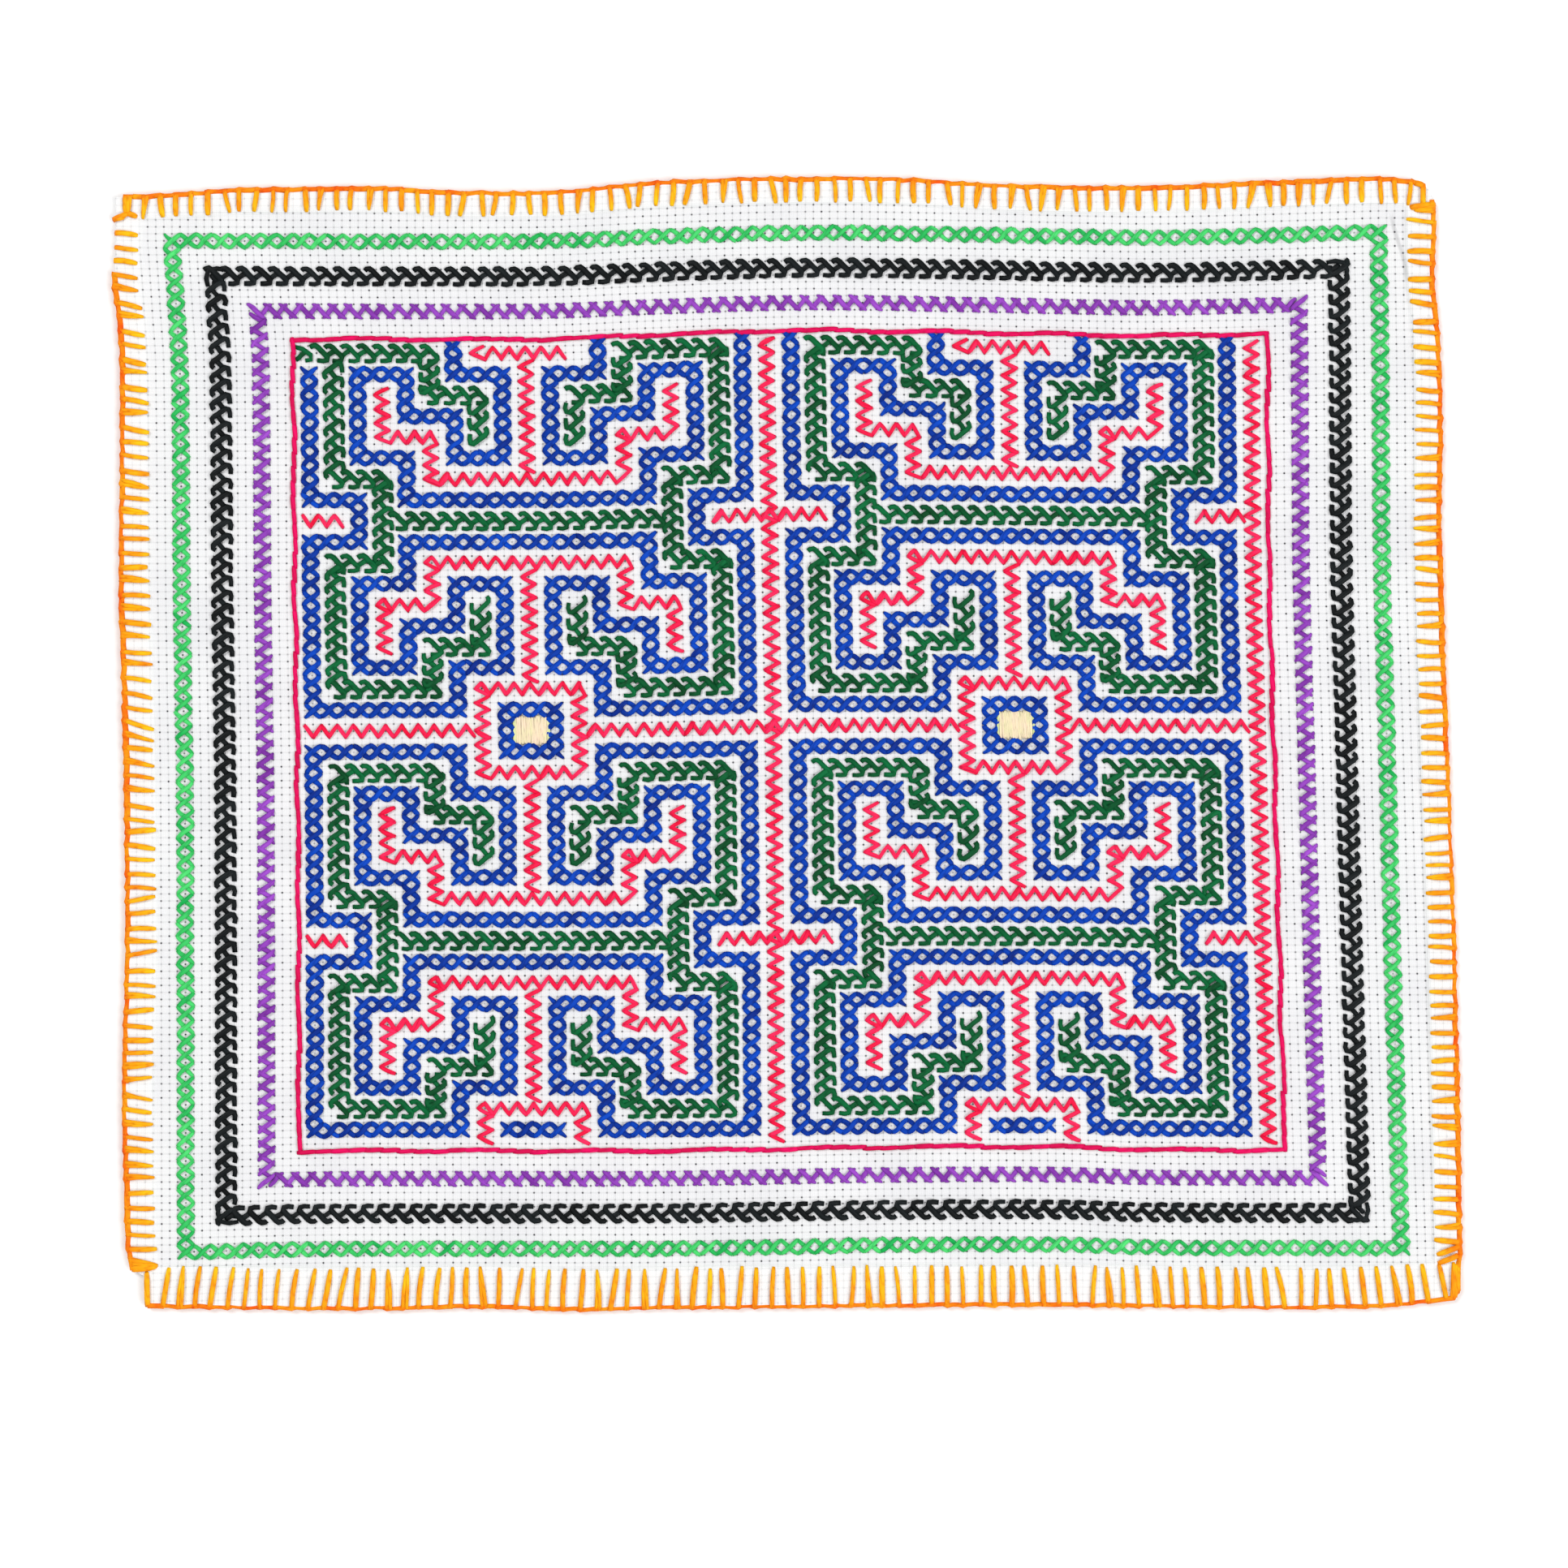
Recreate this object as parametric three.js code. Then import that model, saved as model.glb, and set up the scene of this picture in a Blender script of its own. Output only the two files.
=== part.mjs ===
// A flat embroidered cloth lying face up: white even-weave cotton with a folded hem, a blanket-stitched
// edge, four border rows and a maze of stepped bands in three colours.
// Millimetres. +X runs to the cloth's right, +Y to its top and +Z up; the origin is under its middle.
// Places in the embroidery are counted in squares of the weave, u to the right and v down, from the
// crossing of the maze's first column and first row. The maze itself is charted in pitches of bands.
import * as THREE from "three";

// Driving sizes of the weave and the maze
const SQUARE_W = 2.09;
const SQUARE_H = 1.81;
const PITCH = 3; // squares from the middle of one band to the middle of the next
const BAND_HALF = 1; // squares from a band's middle to its side
const FIELD_LEFT = -123.1; // the maze's first column
const FIELD_TOP = 101.1; // the maze's first row
const SAMPLE = 3; // squares between the places where a line's bends are felt for
const BEND = 0.06; // a line of the weave that bends less than this is left straight

// Heights: threads lie on the cloth, a hair's breadth clear of it
const CLOTH_T = 1.2;
const HEM_T = 1.8;
const THREAD_T = 0.6;
const CLEAR = 0.3;

// The hem and the blanket stitch over it
const NARROW = { hem: 5.6, leg: 5.2 }; // the hem's width and the length of a stitch over it
const WIDE = { hem: 10.4, leg: 9.8 }; // the same at the bottom
const HEM_CORNER = 5; // how far the hem's inner sides stop short of the outline's corners
const CORD_W = 0.8;
const LEG_W = 0.95;
const LEG_LEAN = 0.45;
const EDGE_STEP = 7.5; // millimetres between the points of the cloth's outline

// The maze's limits and the border rows around it, in squares
const FIELD = { left: -1, right: 118, top: -1, bottom: 113 };
const FRAME = { left: -2, right: 119, top: -2, bottom: 114 };
const BORDERS = [
  { name: "border_frame_line", out: 0, half: 0.25, colour: "#e6005c" },
  { name: "border_purple_cross", out: 4, half: 1, colour: "#8c3fb5" },
  { name: "border_black_feather", out: 9, half: 1.15, colour: "#17171b" },
  { name: "border_green_chain", out: 14, half: 1, colour: "#35bd5d" },
];

// How far the weave's squares lie off a straight grid, in millimetres: sideways along the left, middle
// and right of the frame, and upwards along its top, middle and bottom
const LEAN = {
  left: [
    { at: -16, mm: -2.7 },
    { at: -6, mm: -1.5 },
    { at: 2, mm: -0.6 },
    { at: 37, mm: -0.05 },
    { at: 66, mm: 0.7 },
    { at: 128, mm: 0.95 },
  ],
  middle: [
    { at: -16, mm: -1.8 },
    { at: 6, mm: -1.35 },
    { at: 37, mm: -0.25 },
    { at: 63, mm: 0.5 },
    { at: 101, mm: 1.1 },
    { at: 128, mm: 1.5 },
  ],
  right: [
    { at: -16, mm: -1.9 },
    { at: 2, mm: -1.4 },
    { at: 31, mm: -1 },
    { at: 54, mm: 0.15 },
    { at: 89, mm: 1.85 },
    { at: 128, mm: 4 },
  ],
};
const LIFT = {
  top: [
    { at: -16, mm: 0.2 },
    { at: 22, mm: 0 },
    { at: 32, mm: 0.2 },
    { at: 42, mm: 1.1 },
    { at: 62, mm: 2.3 },
    { at: 82, mm: 1.8 },
    { at: 102, mm: 1 },
    { at: 112, mm: 1.2 },
    { at: 133, mm: 2.5 },
  ],
  middle: [
    { at: -16, mm: -0.3 },
    { at: 13, mm: 0.1 },
    { at: 39, mm: 0.35 },
    { at: 63, mm: 1.5 },
    { at: 99, mm: 1.5 },
    { at: 133, mm: 1.2 },
  ],
  bottom: [
    { at: -16, mm: -0.8 },
    { at: 2, mm: 0 },
    { at: 42, mm: 0.1 },
    { at: 72, mm: 1.05 },
    { at: 92, mm: 1.1 },
    { at: 102, mm: 0.4 },
    { at: 133, mm: 0.2 },
  ],
};

// The outer line of the stitched edge: y along x for the top and bottom, x along y for the sides
const EDGES = {
  top: [
    { at: -174, mm: 143.2 },
    { at: -140, mm: 143.9 },
    { at: -104, mm: 144.2 },
    { at: -88, mm: 143.2 },
    { at: -60, mm: 143.3 },
    { at: -28, mm: 146 },
    { at: 24, mm: 146.7 },
    { at: 57, mm: 144.9 },
    { at: 90, mm: 144.5 },
    { at: 150, mm: 146.7 },
    { at: 165, mm: 145.6 },
  ],
  right: [
    { at: -143, mm: 174.2 },
    { at: -126, mm: 174.5 },
    { at: -62, mm: 173.2 },
    { at: -1, mm: 171 },
    { at: 54, mm: 169.3 },
    { at: 88, mm: 169.4 },
    { at: 120, mm: 167.7 },
    { at: 141, mm: 167.9 },
  ],
  bottom: [
    { at: -166, mm: -145.9 },
    { at: -140, mm: -146.3 },
    { at: -112, mm: -146.5 },
    { at: -77, mm: -146.1 },
    { at: -55, mm: -146.8 },
    { at: -27, mm: -146.2 },
    { at: 60, mm: -145.6 },
    { at: 118, mm: -146.4 },
    { at: 172, mm: -144.6 },
  ],
  left: [
    { at: -136, mm: -170.1 },
    { at: -122, mm: -171.6 },
    { at: -89, mm: -172.1 },
    { at: -51, mm: -171.2 },
    { at: 12, mm: -172 },
    { at: 44, mm: -172.9 },
    { at: 84, mm: -172.5 },
    { at: 112, mm: -173.6 },
    { at: 142, mm: -174.4 },
  ],
};

// Sides and corners in order round the cloth, from its top left, clockwise seen from above.
// Each side runs between two stations, and its stitches reach inwards; a corner has its own points.
const OUTLINE = [
  { edge: "top", from: -171, to: 162, inward: [0, -1], square: SQUARE_W, ...NARROW },
  { points: [[166.3, 144.4], [167.8, 142]], inward: [-1, -1] },
  { edge: "right", from: 139, to: -140, inward: [-1, 0], square: SQUARE_H, ...NARROW },
  { points: [[174.2, -143], [172.6, -144.5]], inward: [-1, 1] },
  { edge: "bottom", from: 169, to: -163, inward: [0, 1], square: SQUARE_W, ...WIDE },
  { points: [[-166.2, -145.9], [-166.2, -136.8], [-170.1, -136.2]], inward: [1, 1] },
  { edge: "left", from: -133, to: 140, inward: [1, 0], square: SQUARE_H, ...NARROW },
  { points: [[-174.5, 143]], inward: [1, -1] },
];

// The maze's chart: paths in one quarter of a motif, in pitches from its middle, the same in all four
const CHART = {
  blue: [
    [[0, 1], [5, 1], [5, 3], [7, 3], [7, 7], [5, 7], [5, 5], [3, 5], [3, 3], [1, 3], [1, 7], [3, 7],
      [3, 9], [9, 9], [9, 1], [7, 1], [7, 0]],
  ],
  green: [[[2, 4], [2, 6], [4, 6], [4, 8], [8, 8], [8, 2], [6, 2], [6, 0], [0, 0]]],
  red: [
    [[10, 10], [2, 10], [2, 8], [0, 8], [0, 2], [4, 2], [4, 4], [6, 4], [6, 6]],
    [[10, 10], [10, 0], [8, 0]],
  ],
};
const MOTIF_COLUMNS = [9, 29];
const MOTIF_ROWS = [8, 28];
const SQUARE_ROWS = [17, 19]; // the small blue squares between the motifs
const PATCH_HALF = 1.65; // squares from the middle of a cream patch to its side
const LAST_ROW = 37;
const COLOURS = { blue: "#0a3aa5", green: "#0d5c33", red: "#f22a50", cream: "#efe3b4" };
const EDGING_COLOUR = "#fb9a16";
const CLOTH_COLOUR = "#f4f2f1";

// Value of a table's smooth line at a station: each row's slope comes from its neighbours
function smooth(rows, at) {
  const last = rows.length - 1;
  if (at <= rows[0].at) return rows[0].mm;
  if (at >= rows[last].at) return rows[last].mm;
  const slope = (k) => {
    const before = rows[Math.max(k - 1, 0)];
    const after = rows[Math.min(k + 1, last)];
    return (after.mm - before.mm) / (after.at - before.at);
  };
  const i = rows.findIndex((row) => row.at > at) - 1;
  const span = rows[i + 1].at - rows[i].at;
  const t = (at - rows[i].at) / span;
  const ease = t * t * (3 - 2 * t);
  const bend = t * (1 - t) * span * ((1 - t) * slope(i) - t * slope(i + 1));
  return THREE.MathUtils.lerp(rows[i].mm, rows[i + 1].mm, ease) + bend;
}

// Value at a share of the way over three tables that lie side by side
function between(tables, at, share) {
  const [first, middle, last] = tables.map((rows) => smooth(rows, at));
  const [from, to, t] = share < 0.5 ? [first, middle, 2 * share] : [middle, last, 2 * share - 1];
  return THREE.MathUtils.lerp(from, to, t);
}

// Place of a point of the weave, given in squares, on the cloth as it really lies
function place(u, v) {
  const { clamp, inverseLerp } = THREE.MathUtils;
  const across = clamp(inverseLerp(FRAME.left, FRAME.right, u), 0, 1);
  const down = clamp(inverseLerp(FRAME.top, FRAME.bottom, v), 0, 1);
  const lean = between([LEAN.left, LEAN.middle, LEAN.right], v, across);
  const lift = between([LIFT.top, LIFT.middle, LIFT.bottom], u, down);
  return new THREE.Vector2(FIELD_LEFT + u * SQUARE_W + lean, FIELD_TOP - v * SQUARE_H + lift);
}

// Point of a side of the outline at a station, moved inwards by a distance
function sidePoint(side, station, inset) {
  const edge = smooth(EDGES[side.edge], station);
  const horizontal = side.inward[0] === 0;
  const point = horizontal ? new THREE.Vector2(station, edge) : new THREE.Vector2(edge, station);
  return point.addScaledVector(new THREE.Vector2(...side.inward), inset);
}

function cornerPoints(corner, inset) {
  const inward = new THREE.Vector2(...corner.inward).multiplyScalar(inset);
  return corner.points.map((point) => new THREE.Vector2(...point).add(inward));
}

// Even stations along a side, at most a step apart
function stations(side, step) {
  const count = Math.ceil(Math.abs(side.to - side.from) / step);
  return Array.from({ length: count + 1 }, (_, k) => THREE.MathUtils.lerp(side.from, side.to, k / count));
}

// The outline moved inwards by a distance, the same all round
function outline(inset) {
  return OUTLINE.flatMap((part) =>
    part.edge ? stations(part, EDGE_STEP).map((at) => sidePoint(part, at, inset)) : cornerPoints(part, inset),
  );
}

// The hem's inner edge: its four sides meet in plain corners, clear of the notch
function hemLine() {
  const sides = OUTLINE.filter((part) => part.edge);
  return sides.flatMap((side) => {
    const [low, high] = [side.from, side.to].sort((a, b) => a - b);
    const inner = stations(side, EDGE_STEP).filter((at) => at > low + HEM_CORNER && at < high - HEM_CORNER);
    return inner.map((at) => sidePoint(side, at, side.hem));
  });
}

// Triangle soup that is welded by its shared corners
class Skin {
  constructor() {
    this.corners = [];
  }

  triangle(a, b, c) {
    this.corners.push(...a, ...b, ...c);
  }

  // A flat face at a height, with holes, facing up or down
  face(contour, holes, z, up) {
    const points = [contour, ...holes].flat();
    const at = (k) => [points[k].x, points[k].y, z];
    for (const [a, b, c] of THREE.ShapeUtils.triangulateShape(contour, holes)) {
      const turn = new THREE.Vector2().subVectors(points[b], points[a]);
      const anticlockwise = turn.cross(new THREE.Vector2().subVectors(points[c], points[a])) > 0;
      if (anticlockwise === up) this.triangle(at(a), at(b), at(c));
      else this.triangle(at(a), at(c), at(b));
    }
  }

  // A wall below a loop that runs clockwise seen from above, facing away from what it encloses or into it
  wall(loop, low, high, outwards) {
    loop.forEach((point, k) => {
      const next = loop[(k + 1) % loop.length];
      const [a, b] = outwards ? [next, point] : [point, next];
      this.triangle([a.x, a.y, low], [b.x, b.y, low], [b.x, b.y, high]);
      this.triangle([a.x, a.y, low], [b.x, b.y, high], [a.x, a.y, high]);
    });
  }

  geometry() {
    const position = new THREE.Float32BufferAttribute(this.corners, 3);
    const geometry = new THREE.BufferGeometry().setAttribute("position", position);
    geometry.computeVertexNormals();
    return geometry;
  }
}

function clothGeometry() {
  const edge = outline(CORD_W + CLEAR);
  const hem = hemLine();
  const skin = new Skin();
  skin.face(edge, [], 0, false);
  skin.wall(edge, 0, HEM_T, true);
  skin.face(edge, [hem], HEM_T, true);
  skin.wall(hem, CLOTH_T, HEM_T, false);
  skin.face(hem, [], CLOTH_T, true);
  return skin.geometry();
}

// Stitches of one side: each leg's two root corners and two tip corners, in the order of the outline
function sideLegs(side) {
  const middles = stations(side, 2 * side.square);
  const along = Math.sign(side.to - side.from);
  return middles.map((at, k) => {
    const lean = LEG_LEAN * Math.sin(2.4 * k);
    const reach = side.leg * (1 + 0.06 * Math.sin(1.7 * k + 1));
    const corner = (half, inset, shift) => sidePoint(side, at + along * (half + shift), inset);
    return {
      roots: [corner(-LEG_W / 2, CORD_W, 0), corner(LEG_W / 2, CORD_W, 0)],
      tips: [corner(-LEG_W / 3, reach, lean), corner(LEG_W / 3, reach, lean)],
    };
  });
}

// Blanket stitch: a cord round the edge of the cloth, with a leg every second square over the hem
function edgingGeometry() {
  const rim = outline(0);
  const roots = [];
  const comb = [];
  const legs = [];
  for (const part of OUTLINE) {
    if (!part.edge) {
      const points = cornerPoints(part, CORD_W);
      roots.push(...points);
      comb.push(...points);
      continue;
    }
    for (const leg of sideLegs(part)) {
      legs.push([leg.roots[0], leg.tips[0], leg.tips[1], leg.roots[1]]);
      roots.push(...leg.roots);
      comb.push(leg.roots[0], ...leg.tips, leg.roots[1]);
    }
  }
  const legLow = HEM_T + CLEAR;
  const top = legLow + THREAD_T;
  const skin = new Skin();
  skin.face(rim, [roots], CLEAR, false);
  skin.wall(rim, CLEAR, top, true);
  skin.wall(roots, CLEAR, legLow, false);
  skin.wall(comb, legLow, top, false);
  for (const leg of legs) skin.face(leg, [], legLow, false);
  skin.face(rim, [comb], top, true);
  return skin.geometry();
}

// The points that a bent line needs to stay within a tolerance, without its last one
function bend(line) {
  const from = line[0];
  const chord = line.at(-1).clone().sub(from);
  const offs = line.map((point) => Math.abs(chord.cross(point.clone().sub(from))) / chord.length());
  const far = offs.indexOf(Math.max(...offs));
  if (offs[far] < BEND) return [from];
  return [...bend(line.slice(0, far + 1)), ...bend(line.slice(far))];
}

// A closed loop on the cloth through corners of the weave, with more points where the weave bends
function weaveLoop(corners) {
  const { lerp } = THREE.MathUtils;
  return corners.flatMap(([u, v], k) => {
    const [nextU, nextV] = corners[(k + 1) % corners.length];
    const count = Math.max(1, Math.round(Math.hypot(nextU - u, nextV - v) / SAMPLE));
    const shares = Array.from({ length: count + 1 }, (_, i) => i / count);
    return bend(shares.map((t) => place(lerp(u, nextU, t), lerp(v, nextV, t))));
  });
}

function rectangle(left, top, right, bottom) {
  return weaveLoop([[left, top], [right, top], [right, bottom], [left, bottom]]);
}

function extrude(contour, holes) {
  const shape = new THREE.Shape(contour);
  shape.holes = holes.map((hole) => new THREE.Path(hole));
  const geometry = new THREE.ExtrudeGeometry(shape, { depth: THREAD_T, bevelEnabled: false });
  return geometry.translate(0, 0, CLOTH_T + CLEAR);
}

function borderGeometry({ out, half }) {
  const ring = (reach) =>
    rectangle(FRAME.left - reach, FRAME.top - reach, FRAME.right + reach, FRAME.bottom + reach);
  return extrude(ring(out + half), [ring(out - half).reverse()]);
}

// The squares of the weave that a straight band covers, kept inside the maze's limits
function paintBand(cells, from, to) {
  const [leftU, rightU] = [from[0], to[0]].sort((a, b) => a - b).map((c) => c * PITCH);
  const [topV, bottomV] = [from[1], to[1]].sort((a, b) => a - b).map((r) => r * PITCH);
  for (let u = Math.max(leftU - BAND_HALF, FIELD.left); u < Math.min(rightU + BAND_HALF, FIELD.right); u++)
    for (let v = Math.max(topV - BAND_HALF, FIELD.top); v < Math.min(bottomV + BAND_HALF, FIELD.bottom); v++)
      cells.add(`${u},${v}`);
}

function paintPath(cells, path, column, row, mirrorX, mirrorY) {
  const points = path.map(([p, q]) => [column + mirrorX * p, row + mirrorY * q]);
  points.slice(1).forEach((point, k) => paintBand(cells, points[k], point));
}

function paintMotifs(cells, paths) {
  for (const column of MOTIF_COLUMNS)
    for (const row of MOTIF_ROWS)
      for (const path of paths)
        for (const mirrorX of [-1, 1])
          for (const mirrorY of [-1, 1]) paintPath(cells, path, column, row, mirrorX, mirrorY);
}

// The small blue squares, and the one side of each that shows at the foot of the maze
function paintSquares(cells) {
  const [top, bottom] = SQUARE_ROWS;
  for (const column of MOTIF_COLUMNS) {
    const corners = [[-1, top], [1, top], [1, bottom], [-1, bottom]].map(([dx, r]) => [column + dx, r]);
    corners.forEach((corner, k) => paintBand(cells, corner, corners[(k + 1) % corners.length]));
    paintBand(cells, [column - 1, LAST_ROW], [column + 1, LAST_ROW]);
  }
}

// At the top left the green band runs on to the frame and the blue column starts below it
function paintFirstCorner(green, blue) {
  paintBand(green, [0, 0], [1, 0]);
  for (let u = -BAND_HALF; u < BAND_HALF; u++)
    for (let v = FIELD.top; v < PITCH - BAND_HALF; v++) blue.delete(`${u},${v}`);
}

function paintMaze() {
  const cells = { blue: new Set(), green: new Set(), red: new Set() };
  for (const colour of Object.keys(cells)) paintMotifs(cells[colour], CHART[colour]);
  paintSquares(cells.blue);
  paintFirstCorner(cells.green, cells.blue);
  return cells;
}

// Splits painted squares into the pieces that hang together
function pieces(cells) {
  const left = new Set(cells);
  const found = [];
  while (left.size) {
    const [seed] = left;
    const piece = new Set();
    const open = [seed];
    left.delete(seed);
    while (open.length) {
      const cell = open.pop();
      const [u, v] = cell.split(",").map(Number);
      piece.add(cell);
      for (const near of [`${u + 1},${v}`, `${u - 1},${v}`, `${u},${v + 1}`, `${u},${v - 1}`])
        if (left.delete(near)) open.push(near);
    }
    found.push(piece);
  }
  return found;
}

// Closed loops round a piece, through its corners
function loops(piece) {
  const next = new Map();
  for (const cell of piece) {
    const [u, v] = cell.split(",").map(Number);
    const sides = [
      [u, v, u + 1, v, `${u},${v - 1}`],
      [u + 1, v, u + 1, v + 1, `${u + 1},${v}`],
      [u + 1, v + 1, u, v + 1, `${u},${v + 1}`],
      [u, v + 1, u, v, `${u - 1},${v}`],
    ];
    for (const [fromU, fromV, toU, toV, beyond] of sides)
      if (!piece.has(beyond)) next.set(`${fromU},${fromV}`, [toU, toV]);
  }
  const found = [];
  while (next.size) {
    const [start] = next.keys();
    const loop = [];
    for (let at = start; next.has(at); at = loop.at(-1).join(",")) {
      loop.push(next.get(at));
      next.delete(at);
    }
    found.push(loop.filter((point, k) => turns(loop.at(k - 1), loop[(k + 1) % loop.length])));
  }
  return found;
}

// A loop of unit steps turns between two points that lie neither in one row nor in one column
function turns([beforeU, beforeV], [afterU, afterV]) {
  return beforeU !== afterU && beforeV !== afterV;
}

function bandGeometry(piece) {
  const rings = loops(piece).map(weaveLoop);
  rings.sort((a, b) => Math.abs(THREE.ShapeUtils.area(b)) - Math.abs(THREE.ShapeUtils.area(a)));
  return extrude(rings[0], rings.slice(1));
}

function patchGeometry(column) {
  const u = column * PITCH;
  const v = ((SQUARE_ROWS[0] + SQUARE_ROWS[1]) / 2) * PITCH;
  return extrude(rectangle(u - PATCH_HALF, v - PATCH_HALF, u + PATCH_HALF, v + PATCH_HALF), []);
}

function addMesh(group, name, geometry, colour, roughness = 0.7) {
  const material = new THREE.MeshStandardMaterial({ color: colour, roughness, metalness: 0 });
  const mesh = new THREE.Mesh(geometry, material);
  mesh.name = name;
  group.add(mesh);
}

const group = new THREE.Group();
addMesh(group, "cloth", clothGeometry(), CLOTH_COLOUR, 0.95);
addMesh(group, "edge_stitching", edgingGeometry(), EDGING_COLOUR);
for (const border of BORDERS) addMesh(group, border.name, borderGeometry(border), border.colour);
for (const [colour, cells] of Object.entries(paintMaze()))
  pieces(cells).forEach((piece, k) =>
    addMesh(group, `maze_${colour}_${k + 1}`, bandGeometry(piece), COLOURS[colour]),
  );
MOTIF_COLUMNS.forEach((column, k) =>
  addMesh(group, `satin_patch_${k + 1}`, patchGeometry(column), COLOURS.cream),
);

export default group;
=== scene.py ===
"""A shipibo cloth: white even-weave cotton, a stitched maze, four border rows and a blanket-stitched hem.

Places in the embroidery are counted in squares of the weave, u to the right and v down the cloth, from the
crossing of the maze's first column and first row. The tables of the weave and of the edge are in
millimetres, and so are the threads' sizes; meshes are in metres.
"""

import logging
import math
from dataclasses import dataclass, field, replace
from enum import Enum
from functools import lru_cache

import bpy
import numpy as np
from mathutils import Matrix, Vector

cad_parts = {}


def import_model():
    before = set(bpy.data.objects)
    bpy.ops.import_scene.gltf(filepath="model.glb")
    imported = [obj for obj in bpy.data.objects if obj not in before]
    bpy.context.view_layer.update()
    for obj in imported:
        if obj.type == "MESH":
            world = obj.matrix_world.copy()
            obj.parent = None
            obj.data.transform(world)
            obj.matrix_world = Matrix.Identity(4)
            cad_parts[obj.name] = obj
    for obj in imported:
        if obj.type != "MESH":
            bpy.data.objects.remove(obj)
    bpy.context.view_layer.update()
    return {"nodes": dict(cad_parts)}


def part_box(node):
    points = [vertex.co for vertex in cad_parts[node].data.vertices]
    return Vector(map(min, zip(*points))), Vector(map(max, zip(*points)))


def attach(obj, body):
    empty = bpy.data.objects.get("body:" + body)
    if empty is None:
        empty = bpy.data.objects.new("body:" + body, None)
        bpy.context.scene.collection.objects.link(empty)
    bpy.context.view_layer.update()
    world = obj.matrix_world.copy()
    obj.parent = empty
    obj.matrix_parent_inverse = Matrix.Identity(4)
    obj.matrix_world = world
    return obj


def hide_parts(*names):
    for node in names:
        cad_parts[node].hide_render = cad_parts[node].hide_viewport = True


LOG = logging.getLogger("shipibo_cloth")
MM = 0.001
BODY = "root"

# Heights over the floor, in millimetres
UNDER_HEM = 0.3
UNDER_CLOTH = 0.55
CLOTH_TOP = 1.2
HEM_TOP = 1.8

# The folded hem, in millimetres: how far it goes on past the legs' tips, and where its fold's slope starts
# beyond that and how wide it is
HEM_PAST = 0.3
FOLD_OUT = 0.5
FOLD_SLOPE = 1.1

# Squares of the weave that one stitch takes along most rows
STITCH = 2

# A place, a strand's course as rows of three numbers, a strand with its tones and its swelling, and the
# shader trees' sockets and nodes
Spot = tuple[float, float]
Course = tuple[tuple[float, float, float], ...]
Strand = tuple[np.ndarray, float, float, float]
Socket = bpy.types.NodeSocket
Node = bpy.types.Node


def linear(red: int, green: int, blue: int) -> tuple[float, float, float, float]:
    """Gives a colour of the screen as the light that a shader wants.

    Args:
        red: Red, from 0 to 255.
        green: Green, from 0 to 255.
        blue: Blue, from 0 to 255.

    Returns:
        The linear colour with full alpha.
    """
    shares = [channel / 255 for channel in (red, green, blue)]
    light = [s / 12.92 if s <= 0.04045 else ((s + 0.055) / 1.055) ** 2.4 for s in shares]
    return light[0], light[1], light[2], 1.0


def ease(values: np.ndarray) -> np.ndarray:
    """Turns shares into a soft step from 0 to 1.

    Args:
        values: Shares, which may lie outside 0 and 1.

    Returns:
        The eased shares.
    """
    t = np.clip(values, 0, 1)
    return t * t * (3 - 2 * t)


def deselect_all() -> None:
    """Leaves no object selected, so that an operator acts on the new one alone."""
    bpy.ops.object.select_all(action="DESELECT")


def draw_up(steps: int) -> None:
    """Draws the new object's faces upwards, one unit a step, and turns all its faces outwards.

    Args:
        steps: How many steps.
    """
    bpy.ops.object.mode_set(mode="EDIT")
    bpy.ops.mesh.select_all(action="SELECT")
    for _ in range(steps):
        bpy.ops.mesh.extrude_region_move(TRANSFORM_OT_translate={"value": (0, 0, 1)})
    bpy.ops.mesh.select_all(action="SELECT")
    bpy.ops.mesh.normals_make_consistent(inside=False)
    bpy.ops.object.mode_set(mode="OBJECT")


@dataclass(frozen=True)
class Line:
    """A smooth line through rows of a station and its value in millimetres."""

    rows: tuple[tuple[float, float], ...]

    def at(self, stations: np.ndarray) -> np.ndarray:
        """Reads the line, where each row's slope comes from its neighbours.

        Args:
            stations: The places along the line.

        Returns:
            The values there, held level past the line's ends.
        """
        x, y = np.array(self.rows).T
        order = np.arange(len(x))
        before, after = np.maximum(order - 1, 0), np.minimum(order + 1, len(x) - 1)
        slope = (y[after] - y[before]) / (x[after] - x[before])
        s = np.clip(stations, x[0], x[-1])
        i = np.clip(np.searchsorted(x, s, side="right") - 1, 0, len(x) - 2)
        span = x[i + 1] - x[i]
        t = (s - x[i]) / span
        bend = t * (1 - t) * span * ((1 - t) * slope[i] - t * slope[i + 1])
        return y[i] + (y[i + 1] - y[i]) * ease(t) + bend


@dataclass(frozen=True)
class Rectangle:
    """A rectangle of the weave, in squares."""

    left: float
    right: float
    top: float
    bottom: float

    def holds(self, u: float, v: float) -> bool:
        """Tells whether a place lies in the rectangle or on its sides."""
        return self.left <= u <= self.right and self.top <= v <= self.bottom

    def reach(self, level: bool) -> tuple[float, float]:
        """Gives the two sides that a level line, or an upright one, runs between."""
        return (self.left, self.right) if level else (self.top, self.bottom)


FIELD = Rectangle(-1, 118, -1, 113)
FRAME = Rectangle(-2, 119, -2, 114)


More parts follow.
